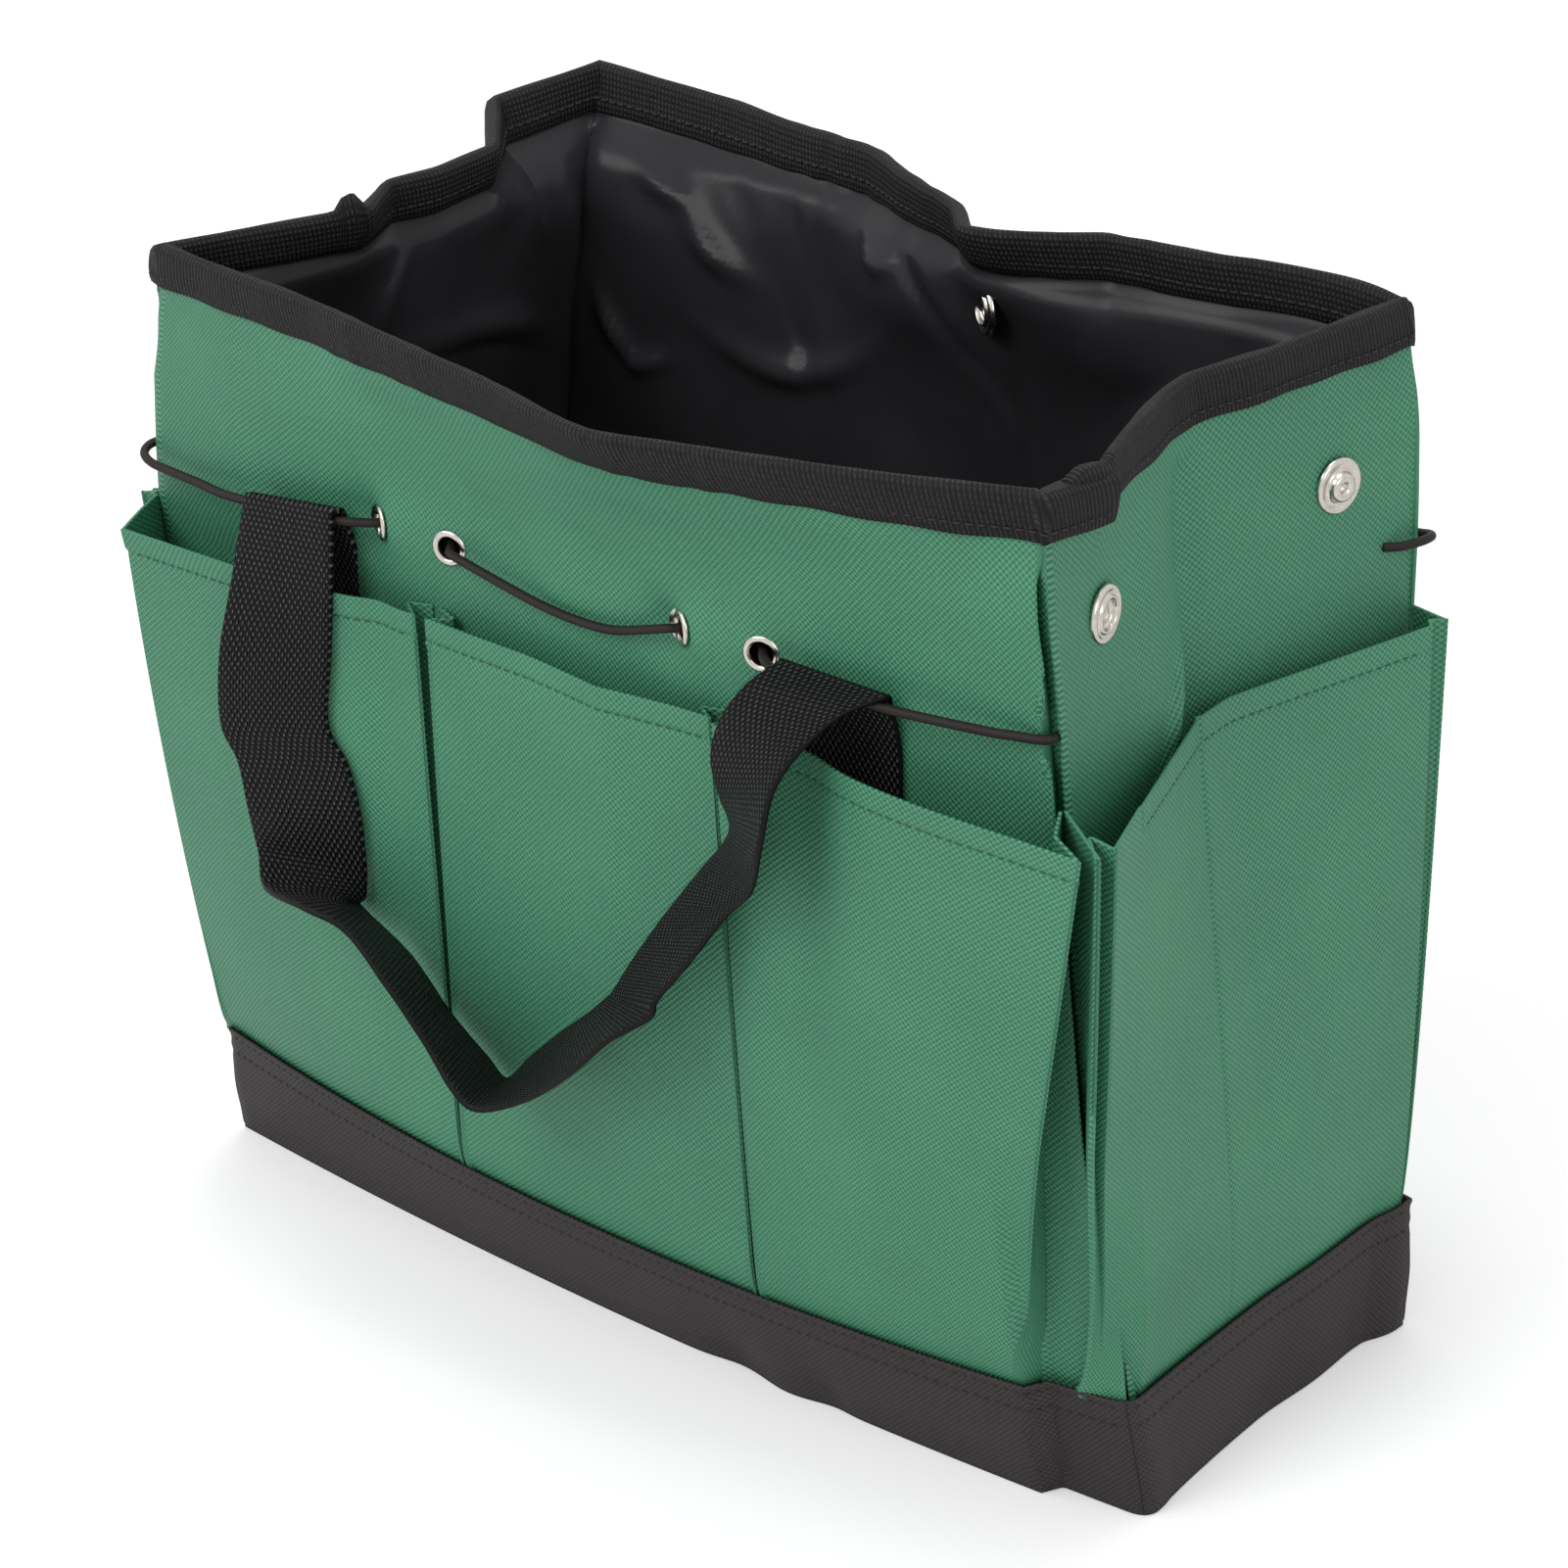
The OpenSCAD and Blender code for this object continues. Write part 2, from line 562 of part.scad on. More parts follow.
// The closure press stud sits on the lining, front and back, and faces into the bag
module into_bag() rotate([180, 0, 0]) children();
module closure_socket() at_closure(true, lining_face - seat_gap) into_bag() socket_half(lining_t);
module closure_post() at_closure(false, lining_face - seat_gap) into_bag() post_half(lining_t);
module closure_backings() {
    color(NICKEL)
        for (rear = [false, true])
            at_closure(rear, -panel_t - lining_gap + 3 * seat_gap)
                cylinder(h = cap_t, d = stud_d - 3);
}

// Handle ends: flat on the panel, from behind the pocket up to the cord
module handle_ends(kind) {
    function section(x, z) = concat(
        [for (i = [-1 : 1]) at_x(kind, x + i * strap_w / 2, z, layer_gap + strap_t)],
        [for (i = [-1 : 1]) at_x(kind, x + i * strap_w / 2, z, layer_gap)]);
    low = cord_height - handle_end_length;
    heights = concat([low], steps(low, cord_height, 4));
    color(TAPE_BLACK)
        turned(kind == REAR)
            for (x = strap_legs)
                strip_loft([for (z = heights) section(x, z)]);
}
module front_handle_ends() handle_ends(FRONT);
module back_handle_ends() handle_ends(REAR);

// Handle loop: across the bag, drop below the cord, and how far the webbing is rolled
// on edge, from one fold over the cord to the other. It hangs against the pockets.
loop_stations = [[-94, 19, 0], [-95, 40, 0], [-95, 62, 0], [-86, 84, 18], [-69, 105, 44],
    [-46, 126, 58], [-20, 143, 60], [4, 131, 58], [27, 107, 50], [46, 76, 34], [63, 46, 14], [79, 24, 0], [85, 12, 0]];
arc_steps = 6;
module handle_loop(kind) {
    y0 = swing_y(kind);
    function crest(x, a) =
        [[x, y0 + fold_r * cos(a), cord_height + fold_r * sin(a)], [0, cos(a), sin(a)], 0];
    function crest_run(x) = [for (i = [0 : arc_steps]) crest(x, 190 * i / arc_steps)];
    function hang(s) =
        let (z = cord_height - s[1], u = s[0] / half_len(z),
            edge = (abs(s[0]) + strap_w / 2 * cos(s[2])) / half_len(z),
            d = pocket_depth(kind, edge, z) + strap_w / 2 * sin(s[2]) + strap_t / 2 + hang_gap)
        [off_wall(kind, u, z, d), [0, -1, 0], s[2]];
    stations = concat(crest_run(strap_legs[0]), [for (s = loop_stations) hang(s)],
        reversed(crest_run(strap_legs[1])));
    m = len(stations);
    function corners(i) =
        let (p = stations[i][0], roll = stations[i][2],
            t = unit(stations[min(i + 1, m - 1)][0] - stations[max(i - 1, 0)][0]),
            n0 = stations[i][1], n1 = unit(n0 - (n0 * t) * t), w1 = cross(n1, t),
            w = strap_w / 2 * (w1 * cos(roll) + n1 * sin(roll)),
            n = strap_t / 2 * (n1 * cos(roll) - w1 * sin(roll)))
        [p + n + w, p + n - w, p - n + w, p - n - w];
    color(TAPE_BLACK)
        turned(kind == REAR)
            strip_loft([for (i = [0 : m - 1]) corners(i)]);
}
module front_handle() handle_loop(FRONT);
module back_handle() handle_loop(REAR);

front_panel();
back_panel();
left_side_panel();
right_side_panel();
base_panel();
front_band();
back_band();
left_band();
right_band();
front_lining();
back_lining();
left_lining();
right_lining();
floor_lining();
front_rim_tape();
back_rim_tape();
front_left_pocket();
front_middle_pocket();
front_right_pocket();
back_left_pocket();
back_middle_pocket();
back_right_pocket();
left_side_pocket();
right_side_pocket();
front_eyelets();
back_eyelets();
front_eyelet_washers();
back_eyelet_washers();
front_cord();
back_cord();
left_stud_socket();
left_stud_post();
right_stud_socket();
right_stud_post();
side_stud_caps();
closure_socket();
closure_post();
closure_backings();
front_handle();
front_handle_ends();
back_handle();
back_handle_ends();
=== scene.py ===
"""Garden tool bag: an open tote of coated oxford cloth with a satin lining, bellows pockets,
elastic tool cords, press studs and webbing handles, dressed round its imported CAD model."""
import math

import bpy
import numpy as np
from mathutils import Matrix


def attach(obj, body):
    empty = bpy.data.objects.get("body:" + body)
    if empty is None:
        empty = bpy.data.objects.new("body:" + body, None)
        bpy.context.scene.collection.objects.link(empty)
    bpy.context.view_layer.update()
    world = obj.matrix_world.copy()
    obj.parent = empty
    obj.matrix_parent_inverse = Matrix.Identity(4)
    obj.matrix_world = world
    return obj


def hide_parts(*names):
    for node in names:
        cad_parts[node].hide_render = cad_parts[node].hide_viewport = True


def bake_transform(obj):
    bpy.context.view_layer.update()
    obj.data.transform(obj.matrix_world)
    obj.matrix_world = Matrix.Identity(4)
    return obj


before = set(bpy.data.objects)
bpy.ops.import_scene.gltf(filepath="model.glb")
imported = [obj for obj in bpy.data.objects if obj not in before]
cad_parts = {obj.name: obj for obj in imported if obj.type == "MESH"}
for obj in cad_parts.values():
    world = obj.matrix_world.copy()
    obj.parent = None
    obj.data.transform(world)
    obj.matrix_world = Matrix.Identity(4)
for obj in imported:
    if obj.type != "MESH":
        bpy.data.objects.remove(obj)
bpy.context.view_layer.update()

# Outer cloth: four panels of coated polyester oxford, cut flat and sewn together in the corner
# seams. The sides fold inwards, the cords draw the front and back in above the pockets, and the
# soft rim stands unevenly.
MM = 0.001
FACES = ("front", "right", "back", "left")
LONG = ("front", "back")
OUTWARD = {"front": (0, -1), "right": (1, 0), "back": (0, 1), "left": (-1, 0)}


def by_face(long, side):
    """One value for front and back, and another for both sides."""
    return {"front": long, "right": side, "back": long, "left": side}


# Heights at which the plan is given, in mm: foot, top of the band, above the cords, and rim
LEVELS = (0, 36, 232, 284)
LEVEL_REACH = 8
HALF_WIDTHS = by_face((157, 154, 143.5, 139), (57, 63, 75, 80))
BOWS = {"front": (6, 16, 6, 20), "back": (6, 16, 0, 8)}
SIDE_FOLD = (0, 0, 14, 14)
BACK_PUSH = (0, 0, 0, 34)
# The push-in of the back: its middle, half its flat floor, and how far its two slopes run
DENT_MIDDLE = 20
DENT_FLOOR = 20
DENT_SLOPES = (52, 94)
CORD_HEIGHT = 221
EYELETS = (-68.5, -43.5, 34.5, 59.5)
# The pull of the cord turns the eyelets it goes into
EYELET_LEANS = (33, -15, 33, -15)
# How the corners of the rim stand off their places, from each face's first corner to its last
RIM_CORNERS = {"front": ((-3, -2), (-2, 8)), "right": ((-2, 8), (-5, 2)),
               "back": ((-5, 2), (-4, 10)), "left": ((-4, 10), (-3, -2))}
# Folds of the rim on each face: places from -1 to 1, mm outwards, and how soft they are
RIM_FOLDS = {
    "front": ((-1, -.605, -.32, -.075, .204, .405, .59, .8, 1),
              (0, -5, -2.7, .7, 11, 8.1, 7.6, 4.2, 0), .06),
    "right": ((-1, -.85, -.716, -.47, -.14, .34, 1), (0, 3.1, 7.2, 4, 1, 3, 0), .03),
    "back": ((-1, -.645, -.407, -.227, -.162, -.08, 0, .076, .16, .227, .335, .42, .5, .64, 1),
             (0, 1.1, 6.8, -5.7, -7.9, 3.6, 8.6, 10.2, 7.5, 4, -5.3, -4.7, -3.2, -.6, 0), .012),
    "left": ((-1, -.583, -.268, .175, .397, .712, 1), (0, 15.5, -5.6, -1.1, -14.1, -6.3, 0), .02)}
# How far the rim sags below its full height
RIM_SAG = {"front": ((-1, -.5, .2, .6, 1), (-3.3, -3, -5.5, -3, -3)),
           "right": ((-1, -.73, -.69, 1), (-4, -5.5, -1.5, -3.5)),
           "back": ((-1, -.7, -.5, -.2, .5, .8, 1), (-4, -.6, .2, -1.6, -2.5, -.5, 1)),
           "left": ((-1, -.75, -.5, 1), (1, -1, -3, -3.3))}
RIM_FROM = 246
# The foot of the front right corner is pushed in behind a crease in the band
TUCK = 5.4
TUCK_FROM = 130
TUCK_TOP = 120
TUCK_FADE = 80
# How far the foot of the right side is pushed in, by place from front to back, and up to what height
FOOT_PUSH = ((-1, -.3, .05, .4, .75, 1), (.3, 3.4, 4.4, 3, 4, 2))
FOOT_TOP = 70
# The front left corner spreads: mm by height, and from what share of the face by height
SPREAD = ((36, 203, 218, 240, 284), (0, -15, -14, -12, 0))
SPREAD_FROM = ((195, 215), (.78, .55))


def smooth(t):
    """S-curve 3t^2 - 2t^3, held between 0 and 1."""
    t = np.clip(t, 0, 1)
    return t * t * (3 - 2 * t)


def bell(x, middle, width):
    """Bell curve exp(-((x - middle) / width)^2)."""
    return np.exp(-((x - middle) / width) ** 2)


def softened(x, places, values, reach):
    """Straight lines through the values, averaged over five points within the reach."""
    return sum(np.interp(x + k * reach, places, values) for k in (-1, -.5, 0, .5, 1)) / 5


def at_level(z, values):
    """A measure given at the four levels, read at height z with softened bends."""
    return softened(z, LEVELS, values, LEVEL_REACH)


def half_of(face, z):
    """Half the width of a face at height z: half the bag's length or half its depth."""
    return at_level(z, HALF_WIDTHS[face])


def rim_rise(z):
    """Share of the rim's unevenness at height z: an S-curve up to the full height."""
    return smooth((z - RIM_FROM) / (LEVELS[3] - RIM_FROM))


def dent(x):
    """Share of the push-in of the back at x: a flat floor, and slopes that fall off as (1 - t^2)^2."""
    d = x - DENT_MIDDLE
    t = np.maximum(0, np.abs(d) - DENT_FLOOR) / np.where(d < 0, *DENT_SLOPES)
    return np.maximum(0, 1 - t * t) ** 2


def wall(face, u, z):
    """Plan of the outer cloth: u runs from -1 to 1 along a face, anticlockwise from above.
    Front and back bow as 1 - u^2, the sides fold in as 1 - |u|, the foot of one corner is
    tucked in, another corner spreads above the pockets, and the rim adds its folds."""
    u, z = np.broadcast_arrays(np.asarray(u, float), np.asarray(z, float))
    length, depth = half_of("front", z), half_of("right", z)
    if face in LONG:
        x = length * u
        y = -depth - at_level(z, BOWS[face]) * (1 - u * u)
    else:
        x = length - at_level(z, SIDE_FOLD) * (1 - np.hypot(u, .02))
        y = depth * u
    if face == "back":
        y = y + at_level(z, BACK_PUSH) * dent(-x)
    low = TUCK * smooth((TUCK_TOP - z) / TUCK_FADE)
    spread = np.interp(z, *SPREAD)
    edge = np.interp(z, *SPREAD_FROM)
    if face == "front":
        y = y + low * smooth((x - TUCK_FROM) / 3)
        x = x + spread * smooth((-edge - u) / (1 - edge))
    if face == "right":
        y = y + low * smooth((-.5 - u) / .5)
        push = softened(u, *FOOT_PUSH, .08) * smooth((1 - np.abs(u)) / .2)
        x = x - push * smooth((FOOT_TOP - z) / FOOT_TOP)
    if face == "left":
        x = x - spread * smooth((u - .7) / .3)
    turn = -1 if face in ("back", "left") else 1
    rise = rim_rise(z)
    first, last = RIM_CORNERS[face]
    fold = softened(u, *RIM_FOLDS[face])
    out = OUTWARD[face]
    x = turn * x + rise * (first[0] + (last[0] - first[0]) * (u + 1) / 2 + fold * out[0])
    y = turn * y + rise * (first[1] + (last[1] - first[1]) * (u + 1) / 2 + fold * out[1])
    return x, y


def skin(face, u, z, d):
    """Points d mm outside the outer cloth, along its normal in plan."""
    x, y = wall(face, u, z)
    ahead, behind = wall(face, u + .01, z), wall(face, u - .01, z)
    tx, ty = ahead[0] - behind[0], ahead[1] - behind[1]
    size = np.hypot(tx, ty)
    return np.stack(np.broadcast_arrays(x + ty / size * d, y - tx / size * d, z), axis=-1)


def with_fine(coarse, places, reach, count):
    """Grid lines: the coarse ones, and closer ones round each place."""
    places = np.asarray(places)
    keep = np.abs(coarse[:, None] - places).min(axis=1) > reach
    fine = (places[:, None] + np.linspace(-reach, reach, count)).ravel()
    return np.sort(np.concatenate([coarse[keep], fine]))


cinch_half = float(half_of("front", CORD_HEIGHT))
seam_lines = np.array([-.996, -.991, -.984, .984, .991, .996])
near_seam = 2 * (1 - seam_lines[3:])
face_columns = with_fine(np.linspace(-1, 1, 141), np.array(EYELETS) / cinch_half, .042, 15)
face_columns = np.sort(np.concatenate([face_columns, seam_lines]))
side_columns = np.sort(np.concatenate([np.linspace(-1, 1, 81), 1 - near_seam, near_seam - 1]))
COLUMNS = by_face(face_columns, side_columns)
SPANS = {}
for face in FACES:
    begin = sum(len(COLUMNS[f]) - 1 for f in FACES[:FACES.index(face)])
    SPANS[face] = (begin, begin + len(COLUMNS[face]))
ring_count = sum(len(COLUMNS[f]) - 1 for f in FACES)
# Least distance in mm between grid lines where cloth inside a corner is held back
CORNER_STEP = .04


def shell(z, d, rounding=0):
    """Cloth wrapped round the whole bag, d mm outside the outer face, one row for each height.
    Each point moves along the mean of its two edges' normals, so corners are mitred, and cloth
    that lies inside is held between its face's two corners. Rounding averages the plan over that
    many lines to each side of the tucked corner."""
    z = np.asarray(z, float)[:, None]
    plans = [wall(f, COLUMNS[f][None, :-1], z) for f in FACES]
    x, y = (np.concatenate([p[k] for p in plans], axis=1) for k in (0, 1))
    if rounding:
        line = np.arange(x.shape[1])
        near = bell(line, SPANS["right"][0], rounding)
        shifts = range(-rounding, rounding + 1)
        x, y = (a + near * (sum(np.roll(a, k, 1) for k in shifts) / len(shifts) - a) for a in (x, y))
    ex, ey = np.roll(x, -1, 1) - x, np.roll(y, -1, 1) - y
    size = np.hypot(ex, ey)
    nx, ny = ey / size, -ex / size
    px, py = np.roll(nx, 1, 1), np.roll(ny, 1, 1)
    share = d / (1 + nx * px + ny * py)
    sag = rim_rise(z) * np.concatenate([np.interp(COLUMNS[f][:-1], *RIM_SAG[f]) for f in FACES])
    points = np.stack([x + (nx + px) * share, y + (ny + py) * share, z + sag], axis=-1)
    points = np.concatenate([points, points[:, :1]], axis=1)
    inside = np.broadcast_to(d, x.shape) < 0
    for face in FACES:
        begin, end = SPANS[face]
        axis = 0 if face in LONG else 1
        first, last = points[:, begin, axis, None], points[:, end - 1, axis, None]
        count = end - begin - 1
        step = np.minimum(np.arange(1, count), np.arange(count - 1, 0, -1)) * CORNER_STEP
        low, high = np.minimum(first, last) + step, np.maximum(first, last) - step
        lines = slice(begin + 1, end - 1)
        held = np.clip(points[:, lines, axis], low, high)
        points[:, lines, axis] = np.where(inside[:, lines], held, points[:, lines, axis])
    return points


def ring_values(function, rows):
    """Values of a function of face, u and z all round the bag, one row for each height."""
    return np.concatenate([function(f, COLUMNS[f][None, :-1], rows[:, None]) for f in FACES], axis=1)


def part_of(grid, face):
    """A face's part of a grid round the bag, with both its corners."""
    begin, end = SPANS[face]
    return grid[:, begin:end]


def quads(rows, cols, ring=False):
    """Corner numbers of a grid's squares; a ring joins its last column to its first."""
    i, j = np.meshgrid(np.arange(rows - 1), np.arange(cols if ring else cols - 1), indexing="ij")
    k = (j + 1) % cols
    return np.stack([i * cols + j, i * cols + k, (i + 1) * cols + k, (i + 1) * cols + j], -1).reshape(-1, 4)


def add_mesh(name, points, faces, uv, material):
    """Object from points in mm, four-cornered faces, and a UV in mm for each point."""
    used, faces = np.unique(faces, return_inverse=True)
    faces = faces.astype(np.int32).ravel()
    points = np.asarray(points, float).reshape(-1, 3)[used] * MM
    mesh = bpy.data.meshes.new(name)
    mesh.vertices.add(len(points))
    mesh.vertices.foreach_set("co", points.ravel())
    mesh.loops.add(len(faces))
    mesh.loops.foreach_set("vertex_index", faces)
    mesh.polygons.add(len(faces) // 4)
    mesh.polygons.foreach_set("loop_start", np.arange(0, len(faces), 4, dtype=np.int32))
    mesh.polygons.foreach_set("use_smooth", np.ones(len(faces) // 4, bool))
    flat = np.asarray(uv, float).reshape(-1, 2)[used]
    mesh.uv_layers.new(name="UVMap").data.foreach_set("uv", flat[faces].ravel())
    mesh.update(calc_edges=True)
    mesh.materials.append(material)
    obj = bpy.data.objects.new(name, mesh)
    bpy.context.scene.collection.objects.link(obj)
    return obj


def thicken(obj, thickness, offset):
    """Gives a sheet its thickness in mm; offset -1 grows inwards and 0 both ways."""
    wall_maker = obj.modifiers.new("thickness", "SOLIDIFY")
    wall_maker.thickness = thickness * MM
    wall_maker.offset = offset


def run_of(path):
    """Length along a path up to each of its points."""
    return np.concatenate([[0], np.cumsum(np.linalg.norm(np.diff(path, axis=0), axis=1))])


def arc_uv(points):
    """UV in mm: length along the rows, measured on the middle row, and up the columns."""
    up = np.linalg.norm(np.diff(points, axis=0), axis=2).mean(axis=1)
    up = np.concatenate([[0], np.cumsum(up)])
    return np.stack(np.meshgrid(run_of(points[points.shape[0] // 2]), up), axis=-1)


def dress(piece, slot, *nodes):
    """Makes a piece ride on the bag and hides the CAD nodes it stands for; the slot is not used."""
    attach(piece, "bag")
    if nodes:
        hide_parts(*nodes)


def linear(code):
    """Linear RGBA of an sRGB hex colour."""
    parts = [int(code[i:i + 2], 16) / 255 for i in (1, 3, 5)]
    return [p / 12.92 if p <= .04045 else ((p + .055) / 1.055) ** 2.4 for p in parts] + [1]


def set_inputs(tree, node, inputs):
    """Sets each input to a value, or links it to a socket or to a node's first output."""
    for key, value in inputs.items():
        if isinstance(value, bpy.types.Node):
            value = value.outputs[0]
        if isinstance(value, bpy.types.NodeSocket):
            tree.links.new(value, node.inputs[key])
        else:
            node.inputs[key].default_value = value


def add_node(tree, kind, inputs=None, **settings):
    """Node with its settings and inputs."""
    node = tree.nodes.new(kind)
    for key, value in settings.items():
        setattr(node, key, value)
    set_inputs(tree, node, inputs or {})
    return node


def new_material(name):
    """Empty material: its node tree, its Principled shader and its coordinates."""
    material = bpy.data.materials.new(name)
    material.use_nodes = True
    tree = material.node_tree
    return material, tree, tree.nodes["Principled BSDF"], add_node(tree, "ShaderNodeTexCoord")


def crossed(tree, turns, low):
    """Height from 0 to 1 of yarns that cross: sin(a) sin(b) of two turns, from a low value up."""
    sines = [add_node(tree, "ShaderNodeMath", {0: turn}, operation="SINE") for turn in turns]
    points = add_node(tree, "ShaderNodeMath", {0: sines[0], 1: sines[1]}, operation="MULTIPLY")
    return add_node(tree, "ShaderNodeMapRange", {"Value": points, "From Min": low, "From Max": 1.0})


def plain_weave(tree, place, pitches, low):
    """Crossed yarns at the given pitches in mm: the turns are pi x / pitch and pi y / pitch."""
    axes = add_node(tree, "ShaderNodeSeparateXYZ", {0: place.outputs["UV"]})
    turns = []
    for axis, pitch in enumerate(pitches):
        turn = {0: axes.outputs[axis], 1: math.pi / pitch}
        turns.append(add_node(tree, "ShaderNodeMath", turn, operation="MULTIPLY"))
    return crossed(tree, turns, low)


def oxford_cloth(name, low, high, roughness, gloss):
    """Plain weave of round yarns, with painted shade between its raised points and painted light on them,
    times a slow change of tone from two noises, as a piece-dyed and coated polyester has."""
    material, tree, shader, place = new_material(name)
    height = plain_weave(tree, place, (OXFORD_PITCH, OXFORD_PITCH), -1.0)
    slub = add_node(tree, "ShaderNodeTexNoise",
                    {"Vector": place.outputs["UV"], "Scale": .9, "Detail": 2.0})
    wash = add_node(tree, "ShaderNodeTexNoise",
                    {"Vector": place.outputs["Object"], "Scale": 22.0, "Detail": 3.0})
    # Painted light and shade: the raised points of the weave are coloured lighter and the hollows darker
    yarn_light_and_shade = add_node(tree, "ShaderNodeMix", {"Factor": height, "A": linear(low), "B": linear(high)},
                    data_type="RGBA")
    tones = add_node(tree, "ShaderNodeMath", {0: slub.outputs["Fac"], 1: wash.outputs["Fac"]},
                     operation="ADD")
    tone = add_node(tree, "ShaderNodeMapRange", {"Value": tones, "From Min": .6, "From Max": 1.4,
                                                 "To Min": .86, "To Max": 1.14})
    colour = add_node(tree, "ShaderNodeVectorMath", {0: yarn_light_and_shade.outputs["Result"], 1: tone},
                      operation="MULTIPLY")
    bump = add_node(tree, "ShaderNodeBump", {"Height": height, "Strength": .6, "Distance": .0004})
    set_inputs(tree, shader, {"Base Color": colour, "Normal": bump, "Roughness": roughness,
                              "Specular IOR Level": gloss})
    return material


# Coated polyester oxford: semi-matt, the yarns catch the light as rows of small points, painted lighter on
# their tops and painted shade between them as well as bumped. Real yarns lie about half a millimetre apart;
# they are drawn coarser, so that the weave shows
OXFORD_PITCH = .85
green_oxford = oxford_cloth("coated_oxford_green", "#235c42", "#549777", .5, .32)
PANEL_ROWS = with_fine(np.linspace(1.5, 282.9, 119), (CORD_HEIGHT,), 6, 15)
PANEL_NODES = by_face("_panel", "_side_panel")
# Holes under the eyelets, a little narrower than high since the eyelets lean
HOLE_R = 3.8
HOLE_SQUEEZE = 1.05
STUD_HEIGHT = 242
STUDS = (-48, 48)


def cloth_waves(face, u, z):
    """Soft unevenness of the hanging cloth in mm: slow waves, a pinch at each corner seam, gathers
    between the eyelets and a crease down each side. It dies out at the eyelets and studs, and the
    cloth tilts with each eyelet, by tan(lean) times the distance along."""
    half = half_of(face, z)
    along = u * half
    tight = (face == "front") | ((face == "right") & (along < 0)) | ((face == "left") & (along > 0))
    d = np.where(tight, -3.4, -.3) * bell(np.abs(along), half, .6)
    d = d + .5 * tight * bell(np.abs(along), half - 4, 3)
    quiet = np.ones_like(d)
    if face in LONG:
        for x, lean in zip(EYELETS, EYELET_LEANS):
            reach = np.hypot(along - x, z - CORD_HEIGHT)
            quiet = quiet * (1 - bell(reach, 0, 11))
            d = d + math.tan(math.radians(lean)) * (along - x) * bell(reach, 0, 8)
        waves = .9 * np.sin(along / 19 + .8) * bell(z, 252, 22) + .8 * np.sin(along / 31 + z / 40)
        waves = waves + 1.3 * np.cos((along + 4.5) / 6.5) * bell(z, 228, 13) * bell(along, -4.5, 26)
    else:
        for y in STUDS:
            quiet = quiet * (1 - bell(np.hypot(along - y, z - STUD_HEIGHT), 0, 16))
        turn = 1 if face == "right" else -1
        waves = .6 * np.sin(along / 13 + z / 37) - 3 * bell(along, -5 * turn, 5)
        waves = waves + 2 * bell(along, -24 * turn, 12)
        run = along * turn + 8 + (225 - z) * .55
        waves = waves + 2.6 * bell(run, 0, 2.6) * bell(z, 205, 18)
    return (d + waves * quiet * smooth((z - 30) / 60)) * smooth((268 - z) / 10)


panel_shell = shell(PANEL_ROWS, ring_values(cloth_waves, PANEL_ROWS))
for face in FACES:
    points = part_of(panel_shell, face)
    squares = quads(*points.shape[:2])
    if face in LONG:
        u, rows = COLUMNS[face][None, :], PANEL_ROWS[:, None]
        middle_x = (u * half_of(face, rows)).ravel()[squares].mean(axis=1)
        middle_z = (rows + 0 * u).ravel()[squares].mean(axis=1)
        off_x = HOLE_SQUEEZE * (middle_x[:, None] - np.array(EYELETS))
        reach = np.hypot(off_x, middle_z[:, None] - CORD_HEIGHT)
        squares = squares[reach.min(axis=1) > HOLE_R]
    panel = add_mesh("outer_" + face, points, squares, arc_uv(points), green_oxford)
    thicken(panel, 1, -1)
    dress(panel, "green_oxford", face + PANEL_NODES[face])

# Base and band: the base is a flat black oxford panel, and the band is four lengths of the same
# cloth, lapped over the feet of the pockets and top-stitched in two rows along the upper edge.
# The black oxford is duller and faintly brown, so that the band reads as plain rubbed cloth
band_oxford = oxford_cloth("coated_oxford_black", "#171314", "#3c3637", .6, .3)
BAND_HEIGHT = LEVELS[1]
BAND_OUT = 2.8
STITCH_PITCH = 3.0
STITCH_LENGTH = 2.1
STITCH_OUT = .4
THREAD_R = .32


def unit(v):
    """Vectors of length 1."""
    return v / np.maximum(np.linalg.norm(v, axis=-1, keepdims=True), 1e-9)


def outward_of(path):
    """Normals in plan of a path that runs anticlockwise round the bag."""
    run = np.gradient(path, axis=0)
    return np.stack([run[:, 1], -run[:, 0], 0 * run[:, 0]], axis=-1)


def line_at(path, places, values):
    """Values given at a path's points, read at lengths along it on straight lines between them."""
    run = run_of(path)
    return np.stack([np.interp(places, run, values[:, k]) for k in range(values.shape[1])], axis=-1)


def rings_of(rows, cols, number):
    """Faces of a number of equal pieces, each made of closed rings one above the other."""
    one = quads(rows, cols, ring=True)[:, ::-1]
    return (np.arange(number)[:, None, None] * rows * cols + one).reshape(-1, 4)


def stitch_row(name, path, outward, material, slot):
    """Row of stitches along a path: each is a six-sided thread that dips into the cloth at both
    ends, with its middle standing out along the cloth's normal."""
    places = np.arange(STITCH_PITCH, run_of(path)[-1] - STITCH_PITCH / 2, STITCH_PITCH)
    middle, n = line_at(path, places, path), unit(line_at(path, places, outward))
    t = unit(line_at(path, places + .5, path) - line_at(path, places - .5, path))
    b = np.cross(t, n)
    steps = np.array([-.5, -.32, 0, .32, .5]) * STITCH_LENGTH
    lift = np.array([-.9, .25, .5, .25, -.9]) * THREAD_R
    girth = np.array([.5, .9, 1, .9, .5]) * THREAD_R
    angles = np.arange(6) * math.pi / 3
    ring_n = lift[:, None] + girth[:, None] * np.sin(angles)
    ring_b = girth[:, None] * np.cos(angles)
    points = (middle[:, None, None] + steps[None, :, None, None] * t[:, None, None]
              + ring_n[None, :, :, None] * n[:, None, None] + ring_b[None, :, :, None] * b[:, None, None])
    faces = rings_of(len(steps), len(angles), len(places))
    row = add_mesh(name, points, faces, np.zeros(points.shape[:-1] + (2,)), material)
    dress(row, slot)


